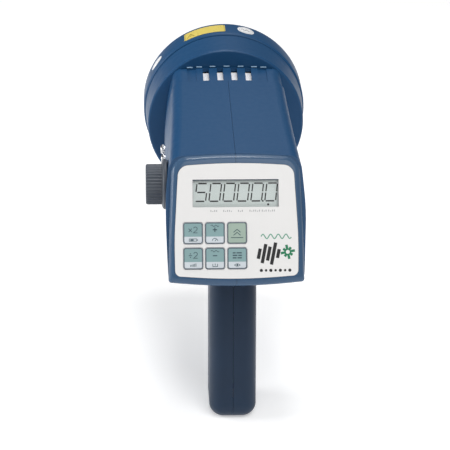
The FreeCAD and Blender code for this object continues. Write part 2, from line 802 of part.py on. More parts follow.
def knob():
    """Fluted knob on a smooth skirt, hollow underneath for the nut."""
    grip = rod(V(knob_end_x, knob_y, knob_z), x_axis, knob_r, skirt_x - knob_end_x)
    rim = Part.makeCone(knob_r - 0.9, knob_r + 0.1, 1.0, V(knob_end_x, knob_y, knob_z), x_axis)
    grip = grip.common(fuse(rim, rod(V(knob_end_x + 1.0, knob_y, knob_z), x_axis, knob_r + 0.1, 12)))
    flutes = []
    out = knob_r + 0.4
    for i in range(flute_count):
        turn = 2 * math.pi * i / flute_count
        start = V(knob_end_x - 1, knob_y + out * math.cos(turn), knob_z + out * math.sin(turn))
        flutes.append(rod(start, x_axis, flute_r, skirt_x - knob_end_x + 1))
    skirt = rod(V(skirt_x, knob_y, knob_z), x_axis, skirt_r, skirt_end_x - skirt_x)
    hollow = rod(V(skirt_x - 1.0, knob_y, knob_z), x_axis, 9.0, 10)
    bore = rod(V(knob_end_x + 2.0, knob_y, knob_z), x_axis, shaft_r, 20)
    screw_hole = rod(V(knob_screw_x, knob_y, knob_z), z_axis, knob_screw_r, 30)
    return cut(fuse(cut(grip, *flutes), skirt), hollow, bore, screw_hole)


bushing_r = 3.5
nut_across = 11.0
encoder_half = 6.5
encoder_case = (-42.6, -35.0)


def encoder_shaft():
    return rod(V(knob_end_x + 2.2, knob_y, knob_z), x_axis, shaft_r - 0.02, 22.0)


def knob_screw():
    return rod(V(knob_screw_x, knob_y, knob_z + shaft_r), z_axis, knob_screw_r - 0.02, 8.0)


def encoder_body():
    case = box(*encoder_case, knob_y - encoder_half, knob_y + encoder_half,
               knob_z - encoder_half, knob_z + encoder_half)
    bushing = rod(V(-49.6, knob_y, knob_z), x_axis, bushing_r, 8.0)
    return fuse(case, bushing).cut(rod(V(-60, knob_y, knob_z), x_axis, shaft_r + 0.05, 23.6))


def encoder_nut():
    nut = hexagon(V(-48.4, knob_y, knob_z), x_axis, nut_across, 2.2)
    return nut.cut(rod(V(-50, knob_y, knob_z), x_axis, bushing_r, 6))


jack_depth = 15.0
jack_case = (-43.2, -31.0)
jack_half = 4.5


def jack_bodies():
    jacks = []
    for y in jack_ys:
        case = box(*jack_case, y - jack_half, y + jack_half, jack_z - jack_half, jack_z + jack_half)
        bushing = rod(V(jack_face_x, y, jack_z), x_axis, jack_bush_r, 8.0)
        bore = rod(V(jack_face_x - 1, y, jack_z), x_axis, jack_bore_r, jack_depth + 1)
        jacks.append(fuse(case, bushing).cut(bore))
    return group(jacks)


def jack_nuts():
    nuts = []
    for y in jack_ys:
        nut = rod(V(jack_face_x + 0.6, y, jack_z), x_axis, jack_nut_r, jack_seat_x - jack_face_x - 0.65)
        nuts.append(nut.cut(rod(V(jack_face_x, y, jack_z), x_axis, jack_bush_r, 6)))
    return group(nuts)


# Handle

bush_r = 5.0
bush_bore_r = 3.175
bush_length = 12.0
trigger_s = 101.0
blade_x = 8.0           # half width of the trigger
blade_s = 12.0          # half height
blade_back_f = 18.0
stop_x = 9.8
switch_front_f = 5.0
plunger_r = 2.0
lock_f = 2.0
lock_s = 100.0
lock_r = 4.5
spring_wire_r = 0.35
spring_turns = 4
charge_s = 14.0
charge_r = 4.0
charge_bore_r = 2.9
cell_back_f = -11.0
lower_cell_s = 22.0
upper_cell_s = 73.0
cell_pitch = 14.3
cell_xs = (-cell_pitch / 2, cell_pitch / 2)
wrap_thick = 0.22
wrap_x = cell_pitch / 2 + cell_r + 0.25


def trigger():
    """Curved trigger blade, its guide block behind the wall, and stops that hold it in."""
    low = trigger_s - blade_s
    high = trigger_s + blade_s
    profile = [(blade_back_f, low, 0), (26.0, low, 3.0), (24.0, trigger_s - 3, 14.0), (29.0, high, 3.5),
               (blade_back_f, high, 0)]
    blade = prism(polygon(profile, lambda f, s: in_handle(-blade_x, f, s)), x_axis * 2 * blade_x)
    stop_back_f = switch_front_f + 3.0 + trigger_travel
    stop = handle_box(-stop_x, stop_x, stop_back_f, blade_back_f + 0.6, low - 1.6, high + 1.6, 1.0)
    hole = rod(in_handle(0, 12, trigger_s), handle_front, plunger_r, 5)
    return fuse(blade, stop).cut(hole)


def switch_plunger():
    return rod(in_handle(0, 3.0, trigger_s), handle_front, plunger_r, 14.0)


def trigger_switch():
    case = handle_box(-6.0, 6.0, -3.0, switch_front_f, trigger_s - 9, trigger_s + 9, 0.8)
    return case.cut(rod(in_handle(0, -2.6, trigger_s), handle_front, plunger_r + 0.06, 10))


def helix_spring(start, along, coil_r, wire_r, length, turns):
    """Open coil spring whose wire's outside just spans the given length."""
    rise = length - 2 * wire_r
    helix = Part.makeHelix(rise / turns, rise, coil_r)
    section = Part.Wire([Part.makeCircle(wire_r, V(coil_r, 0, 0), y_axis)])
    spring = Part.Wire(helix).makePipeShell([section], True, True)
    spring.Placement = FreeCAD.Placement(start + along * wire_r, FreeCAD.Rotation(z_axis, along))
    return spring


def trigger_spring():
    return helix_spring(in_handle(0, switch_front_f + 0.02, trigger_s), handle_front, 4.0, spring_wire_r,
                        trigger_travel + 2.9, spring_turns)


def lock_button():
    cap = rod(in_handle(-18.8, lock_f, lock_s), x_axis, lock_r, 5.0)
    flange = rod(in_handle(-14.4, lock_f, lock_s), x_axis, lock_r + 0.7, 1.0)
    return fuse(cap, flange)


def lock_spring():
    return helix_spring(in_handle(-6.02, lock_f, lock_s), x_axis * -1, 3.0, spring_wire_r, lock_travel + 4.3,
                        spring_turns)


def cell_places():
    lower = [(x, f, lower_cell_s) for x in cell_xs for f in (cell_back_f, cell_back_f + cell_pitch)]
    upper = [(x, cell_back_f, upper_cell_s) for x in cell_xs]
    return lower + upper


def battery_cells():
    cells = []
    for x, f, s in cell_places():
        cells.append(fuse(rod(in_handle(x, f, s), handle_up, cell_r, cell_length - 1.2),
                          rod(in_handle(x, f, s), handle_up, 2.8, cell_length)))
    return group(cells)


def battery_wrap():
    """Shrink sleeve round the lower four cells and the upper two."""
    sleeves = []
    back = cell_back_f - cell_r - 0.25
    for rows, low in ((1, lower_cell_s + 1), (0, upper_cell_s + 1)):
        front = cell_back_f + rows * cell_pitch + cell_r + 0.25
        high = low + cell_length - 2.5
        inside = wrap_x - wrap_thick
        outer = handle_box(-wrap_x, wrap_x, back, front, low, high, cell_r + 0.1)
        inner = handle_box(-inside, inside, back + wrap_thick, front - wrap_thick, low - 1, high + 1, cell_r)
        sleeves.append(outer.cut(inner))
    return group(sleeves)


def charge_socket():
    body = fuse(rod(in_handle(0, 22.0, charge_s), handle_front * -1, charge_r, 11.0),
                rod(in_handle(0, 22.4, charge_s), handle_front * -1, charge_r + 1.4, 1.4))
    bore = rod(in_handle(0, 30.0, charge_s), handle_front * -1, charge_bore_r, 17.5)
    return fuse(body.cut(bore), rod(in_handle(0, 21.8, charge_s), handle_front * -1, 1.0, 10.0))


def tripod_bush():
    """Threaded bush held in by its upper flange."""
    flange_z = foot_block_top + 0.02
    flange = rod(V(0, 0, flange_z), z_axis, bush_r + 1.6, bush_length - flange_z)
    bush = fuse(rod(V(0, 0, 0), z_axis, bush_r, bush_length), flange)
    return bush.cut(rod(V(0, 0, -1), z_axis, bush_bore_r, bush_length + 2))


whole_shell = cut(shell_block(), *shell_cuts())
left_shell, right_shell = halves(whole_shell)
save("left_shell", left_shell)
save("right_shell", right_shell)

pieces = [case_screws, front_ring, lens, lens_seal, head_shell, socket_bracket, head_screws, vent_baffle,
          reflector, flash_tube, trigger_wire, lamp_base, lamp_pins, lamp_socket, overlay, panel_plate,
          dome_contacts, lcd_window, lcd_glass, lcd_frame, panel_board, panel_screws, main_board, board_parts,
          flash_capacitor, trigger_transformer, board_screws, lamp_leads, battery_leads, ribbon_cable, knob,
          encoder_shaft, knob_screw, encoder_body, encoder_nut, jack_bodies, jack_nuts, trigger, switch_plunger,
          trigger_switch, trigger_spring, lock_button, lock_spring, battery_cells, battery_wrap, charge_socket,
          tripod_bush]
for piece in pieces:
    save(piece.__name__, piece())

key_names = ("double", "plus", "function", "halve", "minus", "preset")
for name, (x, v) in zip(key_names, key_places()):
    save("key_" + name, key(x, v))

label_back_y = 171.0
label_front_y = 184.5
oval_y = 178.6
save("label_yellow", label(-29.5, 0.5, label_back_y, label_front_y))
save("label_oval_right", oval_label(15.5, oval_y, 12.5, 13.0))
save("label_oval_left", oval_label(-57.0, oval_y - 0.6, 8.0, 13.0))
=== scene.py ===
import bmesh
import bpy
import json
import math
from mathutils import Matrix, Vector


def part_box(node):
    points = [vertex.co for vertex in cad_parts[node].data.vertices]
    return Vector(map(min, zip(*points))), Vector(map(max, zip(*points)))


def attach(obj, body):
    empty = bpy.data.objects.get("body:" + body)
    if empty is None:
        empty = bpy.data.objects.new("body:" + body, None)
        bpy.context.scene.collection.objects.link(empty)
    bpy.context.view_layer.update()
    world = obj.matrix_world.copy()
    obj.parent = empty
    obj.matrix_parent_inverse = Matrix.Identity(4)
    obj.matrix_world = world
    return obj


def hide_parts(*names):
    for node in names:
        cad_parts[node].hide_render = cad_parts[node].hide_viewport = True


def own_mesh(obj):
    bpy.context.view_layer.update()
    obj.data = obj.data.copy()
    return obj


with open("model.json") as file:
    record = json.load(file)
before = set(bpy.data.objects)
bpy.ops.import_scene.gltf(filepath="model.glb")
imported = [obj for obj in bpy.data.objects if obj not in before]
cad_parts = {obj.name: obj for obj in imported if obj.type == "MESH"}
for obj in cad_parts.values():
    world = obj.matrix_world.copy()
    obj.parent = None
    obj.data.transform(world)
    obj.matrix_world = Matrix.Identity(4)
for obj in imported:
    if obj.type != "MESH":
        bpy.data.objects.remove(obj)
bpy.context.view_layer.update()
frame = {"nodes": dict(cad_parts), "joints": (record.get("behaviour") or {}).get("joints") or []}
nodes = frame["nodes"]
joints = {joint["name"]: joint for joint in frame["joints"]}
scene = bpy.context.scene
mm = 0.001


# Camera and studio

def aimAt(obj, target, roll=0.0):
    direction = Vector(target) - obj.location
    turn = direction.to_track_quat("-Z", "Y").to_matrix().to_4x4()
    place = Matrix.Translation(obj.location)
    obj.matrix_world = place @ turn @ Matrix.Rotation(math.radians(roll), 4, "Z")


view = {
    "place": (-0.0725, -1.2824, 0.7602),  # a little left of the panel's middle line and looking down on it
    "target": (-0.0030, 0.0700, 0.1120),
    "roll": 0.78,
    "lens": 164.2,
}
cameraData = bpy.data.cameras.new("camera")
cameraData.lens = view["lens"]
cameraData.clip_end = 20
camera = bpy.data.objects.new("camera", cameraData)
scene.collection.objects.link(camera)
camera.location = view["place"]
aimAt(camera, view["target"], view["roll"])
scene.camera = camera

studio = {
    "floorSize": 9.0,
    "floorGlow": 0.36,
    "worldStrength": 0.14,
    "middle": (0, 0.06, 0.12),
}
lights = {  # place, width and strength
    "keyLight": ((0.35, -0.88, 1.38), 1.5, 17.8),  # large soft box, high on the panel's side, to the right
    "stripLight": ((0.0, 0.25, 1.25), 0.35, 4.2),  # narrow and right above, for the rim's top edge
    "backLight": ((0.2, 1.3, 1.8), 1.2, 6.0),  # from above and beyond the lamp, for the floor
    "sideLight": ((-1.3, 0.1, 0.5), 0.8, 11.0),  # low and to the left, for the body's left corner
}
world = bpy.data.worlds.new("studio")
world.use_nodes = True
world.node_tree.nodes["Background"].inputs["Color"].default_value = (1.0, 1.0, 1.0, 1.0)
world.node_tree.nodes["Background"].inputs["Strength"].default_value = studio["worldStrength"]
scene.world = world
scene.view_settings.view_transform = "Standard"


def softLight(name, place, size, energy):
    data = bpy.data.lights.new(name, "AREA")
    data.shape = "DISK"
    data.size = size
    data.energy = energy
    lamp = bpy.data.objects.new(name, data)
    scene.collection.objects.link(lamp)
    lamp.location = place
    aimAt(lamp, studio["middle"])


for lightName, (place, size, energy) in lights.items():
    softLight(lightName, place, size, energy)
print("camera and studio ready")


# Shape helpers: everything is drawn in mm in a piece's own directions, then placed

def placeAlong(origin, along, side):
    # frame at origin with its Z along one direction and its X along side
    z = Vector(along).normalized()
    x = Vector(side).normalized()
    y = z.cross(x)
    return Matrix.Translation(Vector(origin)) @ Matrix((x, y, z)).transposed().to_4x4()


def spanIn(place, node):
    # a CAD node's lowest and highest corner in a frame's own directions, in mm
    inverse = place.inverted()
    points = [inverse @ vertex.co / mm for vertex in nodes[node].data.vertices]
    low = Vector([min(point[i] for point in points) for i in range(3)])
    high = Vector([max(point[i] for point in points) for i in range(3)])
    return low, high


def solidBoxes(node):
    # the box of each separate solid in a CAD node
    work = bmesh.new()
    work.from_mesh(nodes[node].data)
    bmesh.ops.remove_doubles(work, verts=work.verts, dist=1e-6)
    boxes = []
    seen = set()
    for first in work.verts:
        if first in seen:
            continue
        seen.add(first)
        island = [first]
        for vert in island:
            for edge in vert.link_edges:
                other = edge.other_vert(vert)
                if other not in seen:
                    seen.add(other)
                    island.append(other)
        low = Vector([min(vert.co[i] for vert in island) for i in range(3)])
        high = Vector([max(vert.co[i] for vert in island) for i in range(3)])
        boxes.append((low, high))
    work.free()
    return boxes


def newObject(name, verts, edges, faces):
    mesh = bpy.data.meshes.new(name)
    mesh.from_pydata(verts, edges, faces)
    obj = bpy.data.objects.new(name, mesh)
    scene.collection.objects.link(obj)
    return obj


def finishedMesh(obj):
    # the mesh that the stack makes, in place of the object
    bpy.context.view_layer.update()
    graph = bpy.context.evaluated_depsgraph_get()
    mesh = bpy.data.meshes.new_from_object(obj.evaluated_get(graph))
    bpy.data.objects.remove(obj)
    return mesh


def bake(obj, place, sharp=32):
    # applies the stack, turns mm into metres and puts the mesh where it belongs
    mesh = finishedMesh(obj)
    mesh.transform(place @ Matrix.Scale(mm, 4))
    work = bmesh.new()
    work.from_mesh(mesh)
    bmesh.ops.recalc_face_normals(work, faces=work.faces)
    work.to_mesh(mesh)
    work.free()
    mesh.shade_smooth()
    mesh.set_sharp_from_angle(angle=math.radians(sharp))
    return mesh


def assemble(name, parts, body, standsFor=()):
    # one piece from several baked meshes, each with its material
    whole = bpy.data.meshes.new(name)
    work = bmesh.new()
    for mesh, material in parts:
        if material.name not in whole.materials:
            whole.materials.append(material)
        start = len(work.faces)
        work.from_mesh(mesh)
        work.faces.ensure_lookup_table()
        for face in work.faces[start:]:
            face.material_index = whole.materials.find(material.name)
        bpy.data.meshes.remove(mesh)
    work.to_mesh(whole)
    work.free()
    obj = bpy.data.objects.new(name, whole)
    scene.collection.objects.link(obj)
    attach(obj, body)
    if standsFor:
        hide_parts(*standsFor)
    return obj


def turned(profile, rounding=0.0, closed=True, steps=96):
    # (radius, height) points turned about Z, from top to bottom on the outside
    count = len(profile)
    edges = [(i, i + 1) for i in range(count - 1)]
    if closed:
        edges.append((count - 1, 0))
    obj = newObject("turning", [(r, 0, z) for r, z in profile], edges, [])
    if rounding > 0:
        soften = obj.modifiers.new("corners", "BEVEL")
        soften.affect = "VERTICES"
        soften.limit_method = "NONE"
        soften.width = rounding
        soften.segments = 3
    spin = obj.modifiers.new("turn", "SCREW")
    spin.steps = steps
    spin.render_steps = steps
    spin.use_merge_vertices = True
    spin.merge_threshold = 0.002
    return obj


def stacked(rings, loop=False):
    # skin through rings with the same number of points, from bottom to top
    count = len(rings[0])
    verts = [point for ring in rings for point in ring]
    levels = len(rings) if loop else len(rings) - 1
    faces = []
    for level in range(levels):
        low = level * count
        high = (level + 1) % len(rings) * count
        for i in range(count):
            j = (i + 1) % count
            faces.append((low + i, low + j, high + j, high + i))
    if not loop:
        faces.append(tuple(reversed(range(count))))
        faces.append(tuple(range(len(verts) - count, len(verts))))
    return newObject("stack", verts, [], faces)


def roundedOutline(width, height, radius, z, cx=0.0, cy=0.0, steps=6):
    # ring of points round a rectangle with round corners
    ring = []
    for i, (sx, sy) in enumerate(((1, 1), (-1, 1), (-1, -1), (1, -1))):
        for k in range(steps + 1):
            turn = math.pi / 2 * (i + k / steps)
            x = cx + sx * (width / 2 - radius) + radius * math.cos(turn)
            y = cy + sy * (height / 2 - radius) + radius * math.sin(turn)
            ring.append((x, y, z))
    return ring


def circle(radius, z, count=48, teeth=0, depth=0.0):
    # ring of points, cut in by depth at each of its teeth
    ring = []
    for i in range(count):
        turn = 2 * math.pi * i / count
        r = radius - depth * (0.5 - 0.5 * math.cos(teeth * turn)) ** 0.7
        ring.append((r * math.cos(turn), r * math.sin(turn), z))
    return ring


def band(points, width, closed=False):
    # flat strip along a line, mitred at its corners
    line = [Vector(point) for point in points]
    count = len(line)
    verts = []
    for i, point in enumerate(line):
        before = line[i - 1] if i > 0 or closed else None
        after = line[(i + 1) % count] if i < count - 1 or closed else None
        first = (point - before).normalized() if before else (after - point).normalized()
        second = (after - point).normalized() if after else first
        across = Vector((-first.y - second.y, first.x + second.x)).normalized()
        reach = width / 2 / max(across.dot(Vector((-first.y, first.x))), 0.4)
        verts.append(tuple(point + across * reach))
        verts.append(tuple(point - across * reach))
    faces = []
    for i in range(count if closed else count - 1):
        j = (i + 1) % count
        faces.append((2 * i, 2 * i + 1, 2 * j + 1, 2 * j))
    return verts, faces


def filled(points):
    return [tuple(point[:2]) for point in points], [tuple(range(len(points)))]


def arc(cx, cy, radius, start, end, steps=16):
    turns = [math.radians(start + (end - start) * k / steps) for k in range(steps + 1)]
    return [(cx + radius * math.cos(turn), cy + radius * math.sin(turn)) for turn in turns]


def flatMarks(shapes, rise, thick=0.05):
    # thin raised print made of flat shapes, its top at the given height
    verts = []
    faces = []
    for points, polygons in shapes:
        start = len(verts)
        verts += [(x, y, rise) for x, y in points]
        faces += [tuple(start + i for i in polygon) for polygon in polygons]
    obj = newObject("marks", verts, [], faces)
    body = obj.modifiers.new("ink", "SOLIDIFY")
    body.thickness = thick
    body.offset = -1
    return obj


def tubeAlong(points, radius, cyclic=False):
    # round rod or wire through points
    curve = bpy.data.curves.new("tube", "CURVE")
    curve.dimensions = "3D"
    curve.bevel_depth = radius
    curve.bevel_resolution = 4
    curve.use_fill_caps = True
    spline = curve.splines.new("POLY")
    spline.points.add(len(points) - 1)
    for knot, point in zip(spline.points, points):
        knot.co = (*point, 1.0)
    spline.use_cyclic_u = cyclic
    obj = bpy.data.objects.new("tube", curve)
    scene.collection.objects.link(obj)
    return obj


# Materials

def newMaterial(name):
    material = bpy.data.materials.new(name)
    material.use_nodes = True
    material.node_tree.nodes.clear()
    return material


def shellPlastic(name, blue, grip, rim, gripTop, rimFrom, facing, roughness):
    # moulded case with a fine spark-eroded grain, a darker greyer colour on the handle below gripTop, and on
    # the panel's rim a smoother surface whose lighter colour is a painted sheen
    material = newMaterial(name)
    tree = material.node_tree
    output = tree.nodes.new("ShaderNodeOutputMaterial")
    surface = tree.nodes.new("ShaderNodeBsdfPrincipled")
    coords = tree.nodes.new("ShaderNodeTexCoord")
    height = tree.nodes.new("ShaderNodeSeparateXYZ")
    zone = tree.nodes.new("ShaderNodeMapRange")
    zoneColour = tree.nodes.new("ShaderNodeMix")
    depth = tree.nodes.new("ShaderNodeVectorMath")
    rimZone = tree.nodes.new("ShaderNodeMapRange")
    rimPaintedSheen = tree.nodes.new("ShaderNodeMix")
    rimGloss = tree.nodes.new("ShaderNodeMix")
    clouds = tree.nodes.new("ShaderNodeTexNoise")
    cloudRange = tree.nodes.new("ShaderNodeMapRange")
    cloudColour = tree.nodes.new("ShaderNodeMix")
    scuffPlace = tree.nodes.new("ShaderNodeMapping")
    scuffs = tree.nodes.new("ShaderNodeTexNoise")
    scuffRange = tree.nodes.new("ShaderNodeMapRange")
    grain = tree.nodes.new("ShaderNodeTexNoise")
    grainBump = tree.nodes.new("ShaderNodeBump")
    waves = tree.nodes.new("ShaderNodeTexNoise")
    waveBump = tree.nodes.new("ShaderNodeBump")
    colourFrame = tree.nodes.new("NodeFrame")
    glossFrame = tree.nodes.new("NodeFrame")
    reliefFrame = tree.nodes.new("NodeFrame")
    for node, label, place, group in (
        (output, "case surface", (600, 0), None),
        (surface, "moulded plastic", (300, 0), None),
        (coords, "place in the case", (-1200, 0), None),
        (height, "height above the foot", (-950, 350), colourFrame),
        (zone, "handle or body", (-750, 350), colourFrame),
        (zoneColour, "handle colour", (-500, 350), colourFrame),
        (depth, "towards the panel's face", (-950, 600), colourFrame),
        (rimZone, "panel rim", (-750, 600), colourFrame),
        (rimPaintedSheen, "rim colour with painted sheen", (-250, 450), colourFrame),
        (rimGloss, "polished rim gloss", (-250, -120), glossFrame),
        (clouds, "uneven pigment", (-950, 120), colourFrame),
        (cloudRange, "how uneven", (-750, 120), colourFrame),
        (cloudColour, "pigment tone", (0, 300), colourFrame),
        (scuffPlace, "scuffs run down", (-950, -120), glossFrame),
        (scuffs, "fine scuffs", (-750, -120), glossFrame),
        (scuffRange, "scuffed gloss", (-500, -120), glossFrame),
        (grain, "spark grain", (-750, -380), reliefFrame),
        (grainBump, "grain height", (-250, -380), reliefFrame),
        (waves, "mould waviness", (-750, -620), reliefFrame),
        (waveBump, "wave height", (-500, -620), reliefFrame),
        (colourFrame, "colour", (-1000, 450), None),
        (glossFrame, "gloss", (-1000, -50), None),
        (reliefFrame, "relief", (-1000, -350), None),
    ):
        node.label = label
        node.parent = group
        node.location = place
    surface.inputs["Specular IOR Level"].default_value = 0.24
    # the handle below gripTop gets the darker, greyer grip colour
    zone.inputs["From Min"].default_value = gripTop - 0.0008
    zone.inputs["From Max"].default_value = gripTop
    zoneColour.data_type = "RGBA"
    zoneColour.inputs["A"].default_value = (*grip, 1.0)
    zoneColour.inputs["B"].default_value = (*blue, 1.0)
    depth.operation = "DOT_PRODUCT"
    depth.inputs[1].default_value = facing
    rimZone.inputs["From Min"].default_value = rimFrom
    rimZone.inputs["From Max"].default_value = rimFrom + 0.0006
    rimPaintedSheen.data_type = "RGBA"
    # the rim's lighter colour is a painted sheen; its lower roughness below is real gloss
    rimPaintedSheen.inputs["B"].default_value = (*rim, 1.0)
    rimGloss.inputs["B"].default_value = roughness - 0.2
    clouds.inputs["Scale"].default_value = 22.0
    clouds.inputs["Detail"].default_value = 4.0
    cloudRange.inputs["From Min"].default_value = 0.3
    cloudRange.inputs["From Max"].default_value = 0.7
    cloudRange.inputs["To Max"].default_value = 0.09
    cloudColour.data_type = "RGBA"
    cloudColour.inputs["B"].default_value = (blue[0] * 1.9, blue[1] * 1.5, blue[2] * 1.3, 1.0)
    scuffPlace.inputs["Scale"].default_value = (260.0, 260.0, 30.0)
    scuffs.inputs["Scale"].default_value = 1.0
    scuffs.inputs["Detail"].default_value = 5.0
    scuffRange.inputs["From Min"].default_value = 0.35
    scuffRange.inputs["From Max"].default_value = 0.75
    scuffRange.inputs["To Min"].default_value = roughness
    scuffRange.inputs["To Max"].default_value = roughness + 0.09
    grain.inputs["Scale"].default_value = 1900.0
    grain.inputs["Detail"].default_value = 2.0
    grainBump.inputs["Strength"].default_value = 0.22
    grainBump.inputs["Distance"].default_value = 0.00008
    waves.inputs["Scale"].default_value = 26.0
    waves.inputs["Detail"].default_value = 1.0
    waveBump.inputs["Strength"].default_value = 0.05
    waveBump.inputs["Distance"].default_value = 0.0008
    tree.links.new(coords.outputs["Object"], height.inputs["Vector"])
    tree.links.new(height.outputs["Z"], zone.inputs["Value"])
    tree.links.new(zone.outputs["Result"], zoneColour.inputs["Factor"])
    tree.links.new(coords.outputs["Object"], clouds.inputs["Vector"])
    tree.links.new(clouds.outputs["Fac"], cloudRange.inputs["Value"])
    tree.links.new(cloudRange.outputs["Result"], cloudColour.inputs["Factor"])
    tree.links.new(coords.outputs["Object"], depth.inputs[0])
    tree.links.new(depth.outputs["Value"], rimZone.inputs["Value"])
    tree.links.new(rimZone.outputs["Result"], rimPaintedSheen.inputs["Factor"])
    tree.links.new(zoneColour.outputs["Result"], rimPaintedSheen.inputs["A"])
    tree.links.new(rimPaintedSheen.outputs["Result"], cloudColour.inputs["A"])
    tree.links.new(cloudColour.outputs["Result"], surface.inputs["Base Color"])
    tree.links.new(coords.outputs["Object"], scuffPlace.inputs["Vector"])
    tree.links.new(scuffPlace.outputs["Vector"], scuffs.inputs["Vector"])
    tree.links.new(scuffs.outputs["Fac"], scuffRange.inputs["Value"])
    tree.links.new(scuffRange.outputs["Result"], rimGloss.inputs["A"])
    tree.links.new(rimZone.outputs["Result"], rimGloss.inputs["Factor"])
    tree.links.new(rimGloss.outputs["Result"], surface.inputs["Roughness"])
    tree.links.new(coords.outputs["Object"], grain.inputs["Vector"])
    tree.links.new(coords.outputs["Object"], waves.inputs["Vector"])
    tree.links.new(waves.outputs["Fac"], waveBump.inputs["Height"])
    tree.links.new(grain.outputs["Fac"], grainBump.inputs["Height"])
    tree.links.new(waveBump.outputs["Normal"], grainBump.inputs["Normal"])
    tree.links.new(grainBump.outputs["Normal"], surface.inputs["Normal"])
    tree.links.new(surface.outputs["BSDF"], output.inputs["Surface"])
    return material


def mouldedPlastic(name, colour, roughness, grainSize=0.5, relief=0.15, uneven=0.14):
    # small moulded parts, keys, labels and print: grain size in mm
    material = newMaterial(name)
    tree = material.node_tree
    output = tree.nodes.new("ShaderNodeOutputMaterial")
    surface = tree.nodes.new("ShaderNodeBsdfPrincipled")
    coords = tree.nodes.new("ShaderNodeTexCoord")
    clouds = tree.nodes.new("ShaderNodeTexNoise")
    tone = tree.nodes.new("ShaderNodeMix")
    rubbed = tree.nodes.new("ShaderNodeTexNoise")
    gloss = tree.nodes.new("ShaderNodeMapRange")
    grain = tree.nodes.new("ShaderNodeTexNoise")
    bump = tree.nodes.new("ShaderNodeBump")
    colourFrame = tree.nodes.new("NodeFrame")
    reliefFrame = tree.nodes.new("NodeFrame")
    for node, label, place, group in (
        (output, "part surface", (500, 0), None),
        (surface, "plastic", (200, 0), None),
        (coords, "place in the part", (-900, 0), None),
        (clouds, "uneven pigment", (-600, 250), colourFrame),
        (tone, "pigment tone", (-200, 250), colourFrame),
        (rubbed, "rubbed patches", (-600, 0), reliefFrame),
        (gloss, "rubbed gloss", (-350, 0), reliefFrame),
        (grain, "surface grain", (-600, -250), reliefFrame),
        (bump, "grain height", (-200, -250), reliefFrame),
        (colourFrame, "colour", (-700, 350), None),
        (reliefFrame, "gloss and relief", (-700, 50), None),
    ):
        node.label = label
        node.parent = group
        node.location = place
    surface.inputs["Specular IOR Level"].default_value = 0.4
    clouds.inputs["Scale"].default_value = 90.0
    clouds.inputs["Detail"].default_value = 3.0
    tone.data_type = "RGBA"
    tone.inputs["A"].default_value = (*[value * (1 - uneven) for value in colour], 1.0)
    tone.inputs["B"].default_value = (*[min(value * (1 + uneven), 1.0) for value in colour], 1.0)
    rubbed.inputs["Scale"].default_value = 160.0
    gloss.inputs["From Min"].default_value = 0.3
    gloss.inputs["From Max"].default_value = 0.7
    gloss.inputs["To Min"].default_value = roughness - 0.06
    gloss.inputs["To Max"].default_value = roughness + 0.12
    grain.inputs["Scale"].default_value = 1000.0 / grainSize
    bump.inputs["Strength"].default_value = relief
    bump.inputs["Distance"].default_value = 0.0001
    tree.links.new(coords.outputs["Object"], clouds.inputs["Vector"])
    tree.links.new(coords.outputs["Object"], rubbed.inputs["Vector"])
    tree.links.new(coords.outputs["Object"], grain.inputs["Vector"])
    tree.links.new(clouds.outputs["Fac"], tone.inputs["Factor"])
    tree.links.new(tone.outputs["Result"], surface.inputs["Base Color"])
    tree.links.new(rubbed.outputs["Fac"], gloss.inputs["Value"])
    tree.links.new(gloss.outputs["Result"], surface.inputs["Roughness"])
    tree.links.new(grain.outputs["Fac"], bump.inputs["Height"])
    tree.links.new(bump.outputs["Normal"], surface.inputs["Normal"])
    tree.links.new(surface.outputs["BSDF"], output.inputs["Surface"])
    return material


